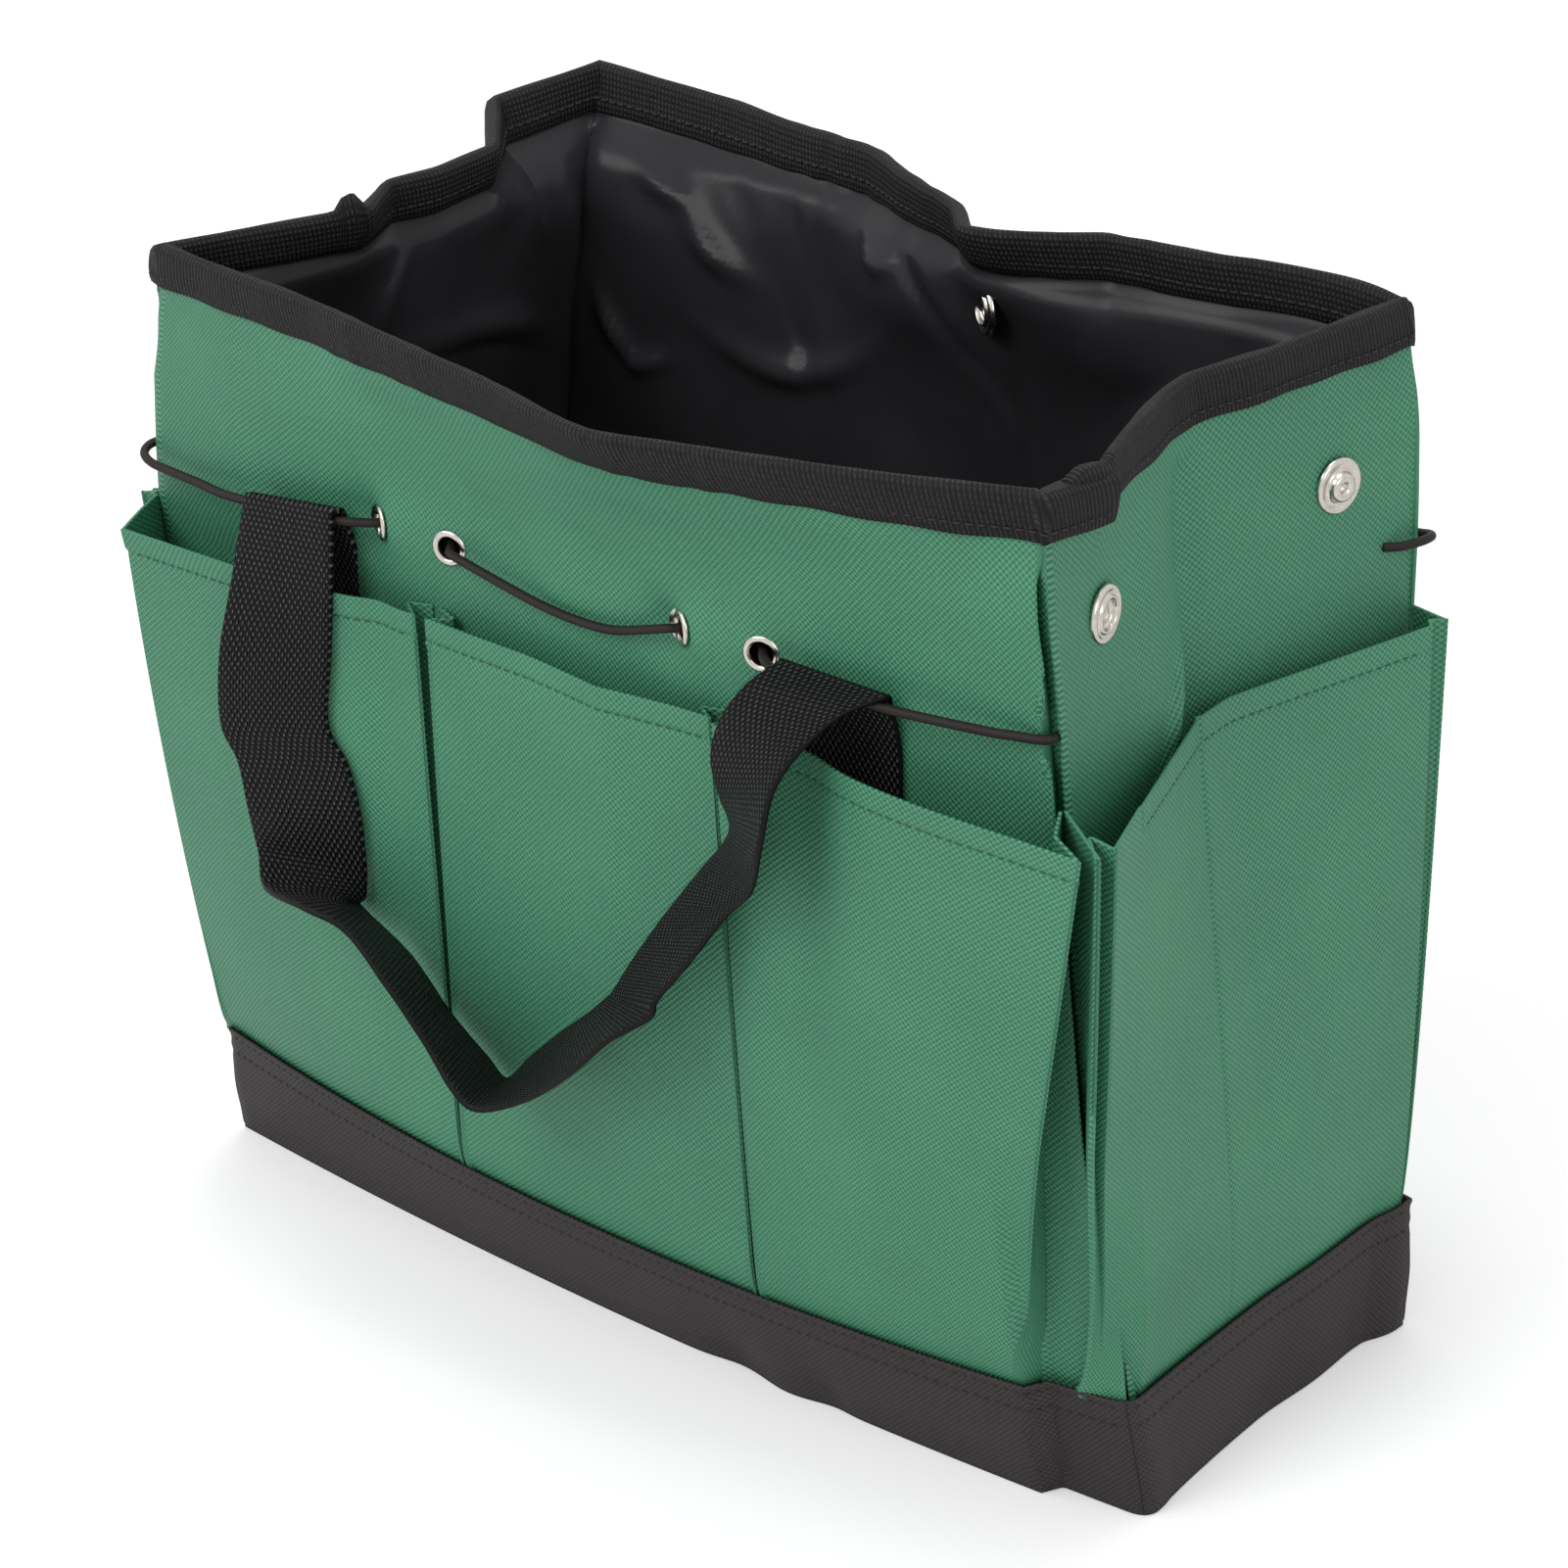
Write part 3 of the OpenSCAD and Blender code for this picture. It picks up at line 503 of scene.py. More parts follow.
def spun_thread(name, code):
    """Spun polyester sewing thread: matt, with painted shade along its twist: a wave takes it down to 0.55 of
    its colour.
    """
    material, tree, shader, place = new_material(name)
    twist = add_node(tree, "ShaderNodeTexWave", {"Vector": place.outputs["Object"], "Scale": 900.0},
                     bands_direction="DIAGONAL")
    shade = [c * .55 for c in linear(code)[:3]] + [1]
    colour = add_node(tree, "ShaderNodeMix",
                      {"Factor": twist.outputs["Fac"], "A": shade, "B": linear(code)}, data_type="RGBA")
    set_inputs(tree, shader, {"Base Color": colour.outputs["Result"], "Roughness": .8})
    return material


# Spun thread: matt ticks that stand off the cloth; the twist is drawn coarser than the real one
black_thread = spun_thread("spun_thread_black", "#1f1b1c")
green_thread = spun_thread("spun_thread_green", "#2f5f47")
BAND_ROWS = np.concatenate([[.5, 1.0, 2.0, 3.5], np.linspace(6, 33, 13), [34.4, 35.3, BAND_HEIGHT]])
BAND_STITCHES = {"upper": 33.6, "lower": 28.0}
BAND_ROUNDING = 4


def band_offset(rows):
    """Distance of the band from the wall: turned in at the foot, fuller in its lower half, drawn in
    at both rows of stitches, and rolled at the upper edge; each of these is a bell or an S-curve."""
    d = BAND_OUT + .5 * bell(rows, 16, 8) - .7 * smooth((2.5 - rows) / 2.5)
    d = d - .35 * bell(rows, BAND_STITCHES["upper"], .8) - .3 * bell(rows, BAND_STITCHES["lower"], .8)
    return d + .25 * bell(rows, 35.6, .8)


def band_slack(face, u, z):
    """Slack of the front length of the band in mm: two valleys with a ridge between, towards the foot."""
    x = u * half_of(face, z)
    slack_x = -1.6 * bell(x, 34, 9) + 1.2 * bell(x, 52, 8) - .8 * bell(x, 66, 6)
    return (face == "front") * slack_x * smooth((30 - z) / 26)


def filled(outline, count):
    """Rings from an outline in to its middle, all at height 0."""
    return outline[None] * np.array([1, 1, 0]) * np.linspace(1, 0, count)[:, None, None]


band_ripple = ring_values(band_slack, BAND_ROWS)
band_shell = shell(BAND_ROWS, band_offset(BAND_ROWS)[:, None] + band_ripple, BAND_ROUNDING)
for face in FACES:
    points = part_of(band_shell, face)
    band = add_mesh("band_" + face, points, quads(*points.shape[:2]), arc_uv(points), band_oxford)
    thicken(band, .8, 0)
    dress(band, "band_oxford", face + "_band")
    for label, level in BAND_STITCHES.items():
        nearest = int(np.abs(BAND_ROWS - level).argmin())
        out = band_offset(np.array([[level]])) + band_ripple[nearest:nearest + 1] + STITCH_OUT
        path = part_of(shell([level], out, BAND_ROUNDING), face)[0]
        stitch_row("band_stitches_%s_%s" % (face, label), path, outward_of(path), black_thread,
                   "band_oxford")

BASE_RINGS = 24
base_points = filled(shell([.6], BAND_OUT + band_ripple[:1], BAND_ROUNDING)[0, :-1], BASE_RINGS)
base_points[..., 2] = np.linspace(.6, .7, BASE_RINGS)[:, None]
base = add_mesh("base_cloth", base_points, rings_of(*base_points.shape[:2], 1),
                base_points[..., :2], band_oxford)
thicken(base, 1.1, 0)
dress(base, "band_oxford", "base_panel")

# Lining: loose black satin, sewn in under the rim tape and hanging free inside the outer cloth,
# so it lies in slack folds that catch the light. The floor is a separate piece.


def two_tone(tree, shader, factor, tones, height, relief, rest):
    """Colour mixed between two tones by a factor, with relief from a height: its strength and depth."""
    colour = add_node(tree, "ShaderNodeMix", {"Factor": factor, "A": linear(tones[0]),
                                              "B": linear(tones[1])}, data_type="RGBA")
    bump = add_node(tree, "ShaderNodeBump", {"Height": height, "Strength": relief[0],
                                             "Distance": relief[1]})
    set_inputs(tree, shader, {"Base Color": colour.outputs["Result"], "Normal": bump, **rest})


def satin(name):
    """Polyester satin: black, its tone clouded by a noise, its gloss and relief waved by a fine twill."""
    material, tree, shader, place = new_material(name)
    twill = add_node(tree, "ShaderNodeTexWave",
                     {"Vector": place.outputs["UV"], "Scale": .55, "Distortion": .4},
                     bands_direction="DIAGONAL")
    line = twill.outputs["Fac"]
    cloud = add_node(tree, "ShaderNodeTexNoise", {"Vector": place.outputs["Object"], "Scale": 35.0})
    gloss = add_node(tree, "ShaderNodeMapRange", {"Value": line, "To Min": .22, "To Max": .29})
    two_tone(tree, shader, cloud.outputs["Fac"], ("#1f1f21", "#303033"), line, (.06, .0002),
             {"Roughness": gloss, "Specular IOR Level": .13})
    return material


# Satin: soft streaks of light on the folds, near black between them. Its twill line is drawn about
# 0.8 mm apart, coarser than the real one
satin_lining = satin("polyester_satin_black")
LINING_ROWS = np.concatenate([np.linspace(2.4, 262, 130), np.linspace(264, 281, 9)])
# Distance of the lining from the outer cloth, by height: it comes close under the tape
LINING_IN = ((266.2, 271.2), (-5.7, -1.8))
FLOOR_HEIGHT = 1.8
CLOSURE_HEIGHT = 258
CLOSURE = {"front": 22, "back": -22}
# Folds of the loose satin, the same on both long faces and on both sides: middle along and up, the
# way it runs along and up, half its length, its width, its height and its bend
FOLDS = by_face(
    [(105, 260, -17, -5, 9, 3, 3.4, 0), (86, 246, -18, -11, 12, 3.6, 3.8, 1.5),
     (120, 216, -13, -18, 11, 2.6, 3.8, 1), (108, 209, -11, 4, 6, 2.6, 3.6, 0),
     (55, 219, -46, 7, 24, 4.2, 4.4, 5), (20, 259, -14, -3, 6, 2.6, 2.8, 2),
     (78, 260, -13, -15, 10, 2, -2, 0), (58, 244, -17, -46, 24, 3.4, -3.2, 2),
     (-5, 247, -33, -42, 27, 3, -3.4, 0), (-13, 236, -30, -46, 24, 3, 2.6, 0),
     (-27, 214, -6, -32, 18, 2, -2.6, 0), (-70, 240, 30, -22, 18, 4, 3, 2),
     (-100, 222, 14, -30, 16, 3.4, 3, -2), (-60, 180, 40, 8, 20, 4, 3.6, 3),
     (70, 150, 30, -34, 24, 4.4, 3.6, 3), (10, 130, -38, -18, 26, 4.6, 3.8, -3),
     (-96, 120, -16, 40, 22, 4, 3.4, 2)],
    [(-22, 230, 52, 15, 25, 5, 4.4, 3), (-18, 225, 46, 14, 20, 1.8, -2.2, 2),
     (-62, 242, -6, -36, 20, 4.4, 3, 1), (-40, 256, -14, -22, 11, 3, 2.4, 0),
     (18, 248, 12, -34, 16, 3, 2.6, 1), (44, 232, -18, -30, 18, 3.6, 3, -2),
     (-30, 170, 28, 26, 20, 4, 3.4, 2), (26, 140, -22, 34, 22, 4.4, 3.6, 2)])


def slack(face, u, z):
    """Folds of loose satin in mm inwards: soft waves, and bent ridges and valleys, each a bell
    across and a longer bell along. They die out at the seams, floor, rim and closure stud."""
    half = half_of(face, z)
    along = u * half
    folds = 1.3 * (1 + np.sin(along / 23 + z / 41 + FACES.index(face)))
    folds = folds + .8 * np.sin(z / 17 - along / 29) ** 2
    turn = 1 if face in ("back", "left") else -1
    for middle, up, run_x, run_z, reach, width, height, bend in FOLDS[face]:
        size = math.hypot(run_x, run_z)
        x, rise = along * turn - middle, z - up
        run = (x * run_x + rise * run_z) / size
        off = (rise * run_x - x * run_z) / size + bend * (run / reach) ** 2
        folds = folds + height * bell(run, 0, reach) * bell(off, 0, width)
    hold = smooth((half - np.abs(along)) / 12) * smooth((270 - z) / 10) * smooth((z - 4) / 30)
    if face in LONG:
        hold = hold * (1 - bell(np.hypot(along - CLOSURE[face], z - CLOSURE_HEIGHT), 0, 11))
    return np.maximum(folds, 0) * hold


lining_in = np.interp(LINING_ROWS, *LINING_IN)[:, None]
lining_shell = shell(LINING_ROWS, lining_in - ring_values(slack, LINING_ROWS))
for face in FACES:
    points = part_of(lining_shell, face)
    lining = add_mesh("lining_" + face, points, quads(*points.shape[:2])[:, ::-1], arc_uv(points),
                      satin_lining)
    thicken(lining, .5, 0)
    dress(lining, "satin_lining", face + "_lining")

floor_points = filled(shell([FLOOR_HEIGHT], -1.3)[0, :-1], 40)
floor_waves = np.sin(floor_points[..., 0] / 21) * np.sin(floor_points[..., 1] / 17)
floor_points[..., 2] = FLOOR_HEIGHT + .8 * (1 + floor_waves)
floor_points[0, :, 2] = FLOOR_HEIGHT
floor_lining = add_mesh("lining_floor", floor_points, quads(*floor_points.shape[:2], ring=True),
                        floor_points[..., :2], satin_lining)
thicken(floor_lining, .5, 0)
dress(floor_lining, "satin_lining", "floor_lining")

# Rim tape: a ribbed polyester grosgrain, folded over the raw rim of panels and lining and sewn
# through. It is two lengths: the front one ends in an overlap on the right and a point on the left.


def grosgrain(name):
    """Grosgrain: sine cords across the tape every 1.3 mm, each crossed by yarns every 1.5 mm, matt
    black with painted grey highlights on the crests and painted shade between them."""
    material, tree, shader, place = new_material(name)
    axes = add_node(tree, "ShaderNodeSeparateXYZ", {0: place.outputs["UV"]})
    lean = add_node(tree, "ShaderNodeMath", {0: axes.outputs[1], 1: .16, 2: axes.outputs[0]},
                    operation="MULTIPLY_ADD")
    sines = []
    for run, pitch in ((lean.outputs[0], RIB_PITCH), (axes.outputs[1], YARN_PITCH)):
        turn = add_node(tree, "ShaderNodeMath", {0: run, 1: 2 * math.pi / pitch}, operation="MULTIPLY")
        sines.append(add_node(tree, "ShaderNodeMath", {0: turn}, operation="SINE"))
    cords = add_node(tree, "ShaderNodeMapRange", {"Value": sines[0], "From Min": -1.0, "From Max": 1.0})
    knots = add_node(tree, "ShaderNodeMapRange", {"Value": sines[1], "From Min": -1.0, "To Min": .45})
    height = add_node(tree, "ShaderNodeMath", {0: cords, 1: knots}, operation="MULTIPLY")
    fuzz = add_node(tree, "ShaderNodeTexNoise",
                    {"Vector": place.outputs["Object"], "Scale": 700.0, "Detail": 2.0})
    painted_highlight_and_fuzz = add_node(tree, "ShaderNodeMath", {0: height, 1: fuzz.outputs["Fac"]}, operation="MULTIPLY")
    # Painted highlight on the crests and knots, painted shade between them, broken up by the fuzz noise
    two_tone(tree, shader, painted_highlight_and_fuzz, ("#050505", "#444344"), height, (1.0, .0008),
             {"Roughness": .7, "Specular IOR Level": .25})
    return material


# Grosgrain: a dry dark edge with a comb of fine grey lines, painted highlights on the rib crests; real ribs
# lie a little closer than drawn
RIB_PITCH = 1.3
YARN_PITCH = 1.5
rim_grosgrain = grosgrain("polyester_grosgrain_black")
# Profile of the folded tape from the outer edge over the top to the inner edge: height and distance
TAPE_PROFILE = np.array([
    (271.4, .55), (273, .8), (276, .95), (279, .95), (281.5, .85), (282.9, .45), (283.6, -.4),
    (283.7, -1.2), (283.4, -2.1), (282.4, -2.8), (280.5, -3.1), (277, -3.2), (274, -3.05), (271.6, -2.85)])
# Height from which the profile counts as the tape's crown
CROWN_FROM = 281


def place_of(face, u):
    """Number of the grid line nearest to u on a face."""
    return SPANS[face][0] + int(np.abs(COLUMNS[face] - u).argmin())


def rim_tape(face, first, last, swell, peak, lift, straight):
    """Folded profile carried along the rim's grid lines from first to last, with slight waves
    of its edges. Swell, peak and lift are given for each line in mm: the swelling where one end
    laps the other, the raw point at an end, and a raised end. The last lines may run straight on."""
    height, off = TAPE_PROFILE.T[..., None]
    lines = np.arange(first, last + 1)
    ring = np.arange(ring_count) * 1.0
    wavy = .22 * np.sin(ring / 2.3) * np.sin(ring / 7.1) + .15 * np.sin(ring / 3.7 + 1)
    extra = np.zeros(ring_count)
    extra[lines % ring_count] = swell
    points = shell(height[:, 0], off + np.sign(off + 1.1) * (wavy + extra), 2)[:, lines % ring_count]
    points[..., 2] += .3 * extra[lines % ring_count] * (height > CROWN_FROM)
    points[..., 2] += .35 * np.sin(lines / 5.3) * np.sin(lines / 2.9 + .4) * bell(height, height[0], 1.2)
    points[..., 2] += bell(off, -1, 1.3) * (height > CROWN_FROM) * peak + lift
    if straight:
        step = points[:, -straight - 1] - points[:, -straight - 2]
        on = step[:, None] * np.arange(1, straight + 1)[:, None]
        points[:, -straight:] = points[:, None, -straight - 1] + on
    tape = add_mesh("rim_tape_" + face, points, quads(*points.shape[:2]), arc_uv(points), rim_grosgrain)
    thicken(tape, .7, 0)
    dress(tape, "rim_tape", face + "_rim_tape")
    return points


# Grid lines where the two lengths meet; their ends lap over each other by a few lines
left_joint = place_of("left", .39)
right_joint = place_of("right", -.716)
front_lines = np.arange(right_joint + 1 + ring_count - left_joint + 1)
front_swell = 1.3 * smooth((front_lines - front_lines[-20]) / 17) + .7 * smooth((3 - front_lines) / 2)
front_peak = 6 * np.maximum(0, 1 - np.abs(front_lines - 1.4) / 1.7)
back_lines = np.arange(left_joint + 2 - (right_joint - 6) + 1)
back_lift = 3.4 * smooth((7 - back_lines) / 1.5) * smooth((back_lines + 1) / 4)
tapes = {"front": rim_tape("front", left_joint, right_joint + 1 + ring_count, front_swell, front_peak, 0, 2),
         "back": rim_tape("back", right_joint - 6, left_joint + 2, 0, 0, back_lift, 0)}
for face, tape_points in tapes.items():
    for label, row, way in (("outer", 1, 1), ("inner", -2, -1)):
        outward = outward_of(tape_points[row]) * way
        path = tape_points[row] + unit(outward) * .42 + np.array([0, 0, 1.2])
        stitch_row("tape_stitches_%s_%s" % (face, label), path, outward, black_thread, "rim_tape")

# Pockets: eight bellows pockets of the same green oxford, their feet caught behind the band. Their
# edges are folded back and sewn to the panels, so they stand open, with a stitched hem on top.
POCKET_TOP = 203
HEM = 6.6
POCKET_ROWS = np.concatenate([np.linspace(34, 36, 2), np.linspace(39, 193, 52),
                              np.linspace(194, POCKET_TOP, 19)])
FOLD_STEPS = np.array([0, .02, .06, .14, .3, .5, .7, .86, .94, .98])
FACE_STEPS = np.concatenate([[0, .004, .012, .03], np.linspace(.05, .35, 21), [.36, .366, .37, .374, .38],
                             np.linspace(.39, .95, 38), [.97, .988, .996]])


def off_face(face, along, z, d):
    """Point on a face at mm along it, d mm straight out from the outer cloth."""
    x, y = wall(face, along / half_of(face, z), z)
    out = OUTWARD[face]
    return np.stack(np.broadcast_arrays(x + d * out[0], y + d * out[1], z), axis=-1)


def pocket(place, left, right, swell):
    """Pocket from its plan: left runs from the seam out to the face's fold and right back to
    the other seam, as rows of (along, off) at the mouth and (along, off) at the foot. Between,
    the plan is mixed by powers of the rise, the along's from a fifth value if there is one. The
    face swells by the given function of its share and rise, and the hem stands proud of its line."""
    face = place.split("_")[0]
    z = POCKET_ROWS[:, None]
    hem_line = POCKET_TOP - HEM
    rise = np.clip((z - BAND_HEIGHT) / (POCKET_TOP - BAND_HEIGHT), 0, 1)

    def mixed(fold):
        """Along and off of one fold at each height: foot + (mouth - foot) rise^power."""
        powers = (fold[4] if len(fold) > 4 else 1, .7)
        return [fold[2 + k] + (fold[k] - fold[2 + k]) * rise ** powers[k] for k in (0, 1)]

    folds = [mixed(f) for f in left + right]
    alongs, offs = [], []
    for k in range(len(folds) - 1):
        is_face = k == len(left) - 1
        t = (FACE_STEPS if is_face else FOLD_STEPS)[None, :]
        alongs.append(folds[k][0] + (folds[k + 1][0] - folds[k][0]) * t)
        off = folds[k][1] + (folds[k + 1][1] - folds[k][1]) * t
        if is_face:
            off = off + swell(t, rise) + .35 * smooth((z - hem_line) / .8) - .3 * bell(z, hem_line, .9)
        offs.append(off)
    along = np.concatenate(alongs + [folds[-1][0]], axis=1)
    off = np.concatenate(offs + [folds[-1][1]], axis=1)
    along = along * np.where(z < BAND_HEIGHT, half_of(face, z) / half_of(face, BAND_HEIGHT), 1)
    points = off_face(face, along, z, off)
    cloth = add_mesh("pocket_" + place, points, quads(*along.shape), arc_uv(points), green_oxford)
    thicken(cloth, .8, -1)
    dress(cloth, "green_oxford", place + "_pocket")
    first = (len(left) - 1) * len(FOLD_STEPS)
    line = int(np.abs(POCKET_ROWS - hem_line).argmin())
    path = points[line, first + 2:first + len(FACE_STEPS) - 1]
    stitch_row("pocket_%s_hem" % place, path, outward_of(path), green_thread, "green_oxford")


def plain_face(t, rise):
    """Slight fullness of a pocket face, up to 1.2 mm."""
    return 1.2 * np.sin(math.pi * t) * np.sin(math.pi * np.clip(rise, 0, 1))


def pulled_face(t, rise):
    """Outer pocket: a soft upright valley beside its inner fold."""
    return plain_face(t, rise) - 2 * rise * bell(t, .84, .07) + .8 * rise * bell(t, .4, .2)


def ridged_face(t, rise):
    """Middle pocket: a soft upright ridge right of the middle."""
    return plain_face(t, rise) + 3.2 * rise * np.maximum(0, 1 - np.abs(t - .64) / .3) ** 1.4


def waved_face(t, rise):
    """Right pocket: a shallow valley beside its left fold and a fuller middle."""
    valley = -3.2 * bell(t, .24, .1) + 1.6 * bell(t, .05, .08)
    return plain_face(t, rise) + rise * (valley + 1.5 * bell(t, .55, .25))


def bent_face(t, rise):
    """Side pocket: bent inwards along an upright crease before its middle."""
    crease = -.9 * np.sqrt(rise) * bell(t, SIDE_CREASE, .006)
    reach = np.where(t < SIDE_CREASE, SIDE_CREASE, 1 - SIDE_CREASE)
    return crease - 8.6 * rise * np.maximum(0, 1 - np.abs(t - SIDE_CREASE) / reach)


SIDE_CREASE = .37
# Folds of the pockets' edges, as (along, off) at the mouth and at the foot, and the along's power
LEFT_SEAM = [(-145.3, .4, -152.5, .4), (-136.5, 21.5, -160, 1.4, .85)]
RIGHT_SEAM = [(164.5, 20.5, 128, 1.6), (152, 12, 130.5, 1.2), (145.3, .4, 132, .4)]
UNDER_RIGHT = [(-50.4, 7.2, -52.3, 1.4), (-57, 2.8, -54, .9), (-51, .4, -52.6, .4)]
MIDDLE_LEFT = [(-48.2, .4, -51.6, .4), (-42, 2.6, -50, .9), (-47, 7, -51.8, 1.4)]
MIDDLE_RIGHT = [(48.3, 6.2, 51.6, 1.4), (43, 2.6, 50, .9), (49, .4, 51.8, .4)]
UNDER_LEFT = [(51.2, .4, 52.4, .4), (57, 2.8, 54, .9), (50.4, 7.4, 52.2, 1.4)]
BACK_LEFT_SEAM = [(-143, .4, -152.5, .4), (-140.5, 5.5, -153, 1.4)]
BACK_RIGHT_SEAM = [(149.5, 19.5, 153, 1.4), (145.3, .4, 152.5, .4)]
pocket("front_left", LEFT_SEAM, UNDER_RIGHT, pulled_face)
pocket("front_middle", MIDDLE_LEFT, MIDDLE_RIGHT, ridged_face)
pocket("front_right", UNDER_LEFT, RIGHT_SEAM, waved_face)
pocket("back_right", BACK_LEFT_SEAM, UNDER_RIGHT, waved_face)
pocket("back_middle", MIDDLE_LEFT, MIDDLE_RIGHT, ridged_face)
pocket("back_left", UNDER_LEFT, BACK_RIGHT_SEAM, plain_face)
pocket("right_side", [(-73.4, .5, -63, .5), (-88.5, 19.5, -67.5, -11), (-80.5, 12.5, -66.5, -9.5),
                      (-82, 20.5, -66.8, -8), (-60, 15.5, -58, 1.4)],
       [(65.2, 12.2, 62, 1.6), (67.6, 9.6, 62.3, 1.2), (70.6, 12.4, 62.8, 1.6), (72.8, .5, 62, .5)],
       bent_face)
pocket("left_side", [(-73.4, .5, -62, .5), (-76, 15, -61.5, 1.4)],
       [(72, 3.6, 61.5, 1.4), (70.5, 1.8, 61, .9), (75, 4.2, 61.8, 1.2), (73.4, .5, 62, .5)],
       bent_face)

# Metal: nickel-plated brass eyelets and press studs, drawn from sheet, pressed through the cloth
# and rolled over on the far side, where flat washers and caps hold them.


def nickel(name):
    """Nickel plate: bright warm grey metal; one fine noise gives polishing marks and tiny pits."""
    material, tree, shader, place = new_material(name)
    noise = add_node(tree, "ShaderNodeTexNoise",
                     {"Vector": place.outputs["Object"], "Scale": 900.0, "Detail": 4.0})
    marks = noise.outputs["Fac"]
    rough = add_node(tree, "ShaderNodeMapRange", {"Value": marks, "To Min": .12, "To Max": .3})
    two_tone(tree, shader, marks, ("#b3ada4", "#ddd8d0"), marks, (.08, .0002),
             {"Roughness": rough, "Metallic": 1})
    return material


# Nickel plate: small mirrors of the white room with dark edges, a little dulled by marks
nickel_plate = nickel("nickel_plated_brass")
HIDDEN_METAL = ("front_eyelet_washers", "back_eyelet_washers", "side_stud_caps", "closure_backings")
for node_name in HIDDEN_METAL:
    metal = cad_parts[node_name]
    metal.data.materials.clear()
    metal.data.materials.append(nickel_plate)

# Half sections, radius and height above the cloth: a rolled eyelet, a stud's socket and its post
EYELET_SECTION = [(3, -1.4), (3, .1), (3.15, .55), (3.5, .85), (4, .95), (4.5, .8), (4.85, .45), (5, -.1)]
SOCKET_SECTION = [(.02, .5), (1.2, .45), (2, .3), (3.6, .35), (3.75, .8), (3.9, 1.6), (4.2, 2), (4.6, 1.9),
                  (4.9, 1.3), (5.2, 1.05), (5.7, 1.2), (6.2, 1.5), (6.8, 1.5), (7.3, 1.1), (7.5, .5),
                  (7.4, -.2)]
POST_SECTION = [(.02, 1.0), (1, 1.1), (1.2, 2.1), (1.5, 2.6), (2.1, 2.9), (2.9, 2.95), (3.5, 2.7), (3.8, 2.1),
                (4, 1.2), (4.5, .75), (5.3, .75), (6, 1.1), (6.6, 1.3), (7.1, 1.1), (7.5, .5), (7.4, -.2)]
TURNS = 40
# How far inside the outer cloth the closure stud sits, and how far its back half is turned
CLOSURE_OFF = -6.2
CLOSURE_LEAN = 24


def turned(name, section, places, node):
    """Pieces turned from one half section, one at each place, given as its centre and the way it
    faces: circles of the section's radius at its height along that way."""
    profile = np.array(section)
    angle = np.arange(TURNS) * 2 * math.pi / TURNS
    points = []
    for centre, facing in places:
        n = unit(np.array(facing, float))
        a = unit(np.cross([0, 0, 1], n))
        b = np.cross(n, a)
        ring = np.cos(angle)[:, None] * a + np.sin(angle)[:, None] * b
        points.append(np.array(centre) + profile[:, None, :1] * ring + profile[:, None, 1:] * n)
    points = np.array(points)
    faces = rings_of(len(profile), TURNS, len(places))
    piece = add_mesh(name, points, faces, points[..., :2], nickel_plate)
    thicken(piece, .3, -1)
    dress(piece, "nickel", node)


def on_skin(face, along, z, d, lean=0):
    """Centre and facing of a piece on a face, d mm off the cloth, turned by lean degrees."""
    half = float(half_of(face, z))
    here, out = (skin(face, np.float64(along / half), np.float64(z), off) for off in (d, d + 1))
    n = out - here
    c, k = math.cos(math.radians(lean)), math.sin(math.radians(lean))
    return here, np.array([n[0] * c + n[1] * k, n[1] * c - n[0] * k, n[2]])


for face in LONG:
    rings = [on_skin(face, x, CORD_HEIGHT, 0, lean) for x, lean in zip(EYELETS, EYELET_LEANS)]
    turned("eyelets_" + face, EYELET_SECTION, rings, face + "_eyelets")
HALVES = (("socket", SOCKET_SECTION), ("post", POST_SECTION))
for face in ("right", "left"):
    for place, (half_name, section) in zip(STUDS, HALVES):
        turned("stud_%s_%s" % (half_name, face), section, [on_skin(face, place, STUD_HEIGHT, 0)],
               "%s_stud_%s" % (face, half_name))
for face, lean, (half_name, section) in zip(("back", "front"), (CLOSURE_LEAN, 0), HALVES):
    centre, facing = on_skin(face, CLOSURE[face], CLOSURE_HEIGHT, CLOSURE_OFF, lean)
    turned("closure_stud_" + half_name, section, [(centre, -facing)], "closure_" + half_name)

# Elastic cords: 2.4 mm braided round elastic, one at the front and one at the back. Each starts in
# one corner seam, goes through the handle folds and the four eyelets and ends in the other seam.
CORD_D = 2.4
SWING = {"front": -85.0613, "back": -80.7156}
STRAP_LEGS = (-94.5, 85.5)
CORD_START = {"front": [(7.3, -1.2, -10), (4.1, -1.6, -6.6), (.3, -2.2, -2.8), (-1.2, -3, 1), (.7, -4, 4.4),
                        (5.5, -4.8, 6), (12, -5.2, 5.8), (22, -5, 6.2)],
              "back": [(2.6, 0, -11), (-.4, 0, -8), (-2, 0, -4.6), (-3, 0, -1), (-2.7, -.3, 2.8),
                       (-.3, -1, 5), (6, -2.2, 6)]}
# The fold of the first leg is pulled down at its outer edge, and the cord with it
CREST_DROP = 4
LEG_SAG = ((-CREST_DROP, -CREST_DROP / 2, 0), (0, 0, 0))
CORD_MIDDLE = [(-34.5, -1.2, 2.6), (-22.5, -3.6, 2.2), (-10.5, -5.6, 2), (1.5, -6.4, 2), (13.5, -5.6, 2.2),
               (25.5, -2, 2.6)]
CORD_FINISH = [(-17, 0, 4.6), (-10, 0, 3), (-4.5, 0, 1.8), (-1.9, 0, .2), (-1.1, 0, -2.6)]
INTO_EYELET = [(-3, 2.65), (-1.2, 1.1), (0, -.35), (1.2, -1.8), (3, -3.3), (6, -3.6)]


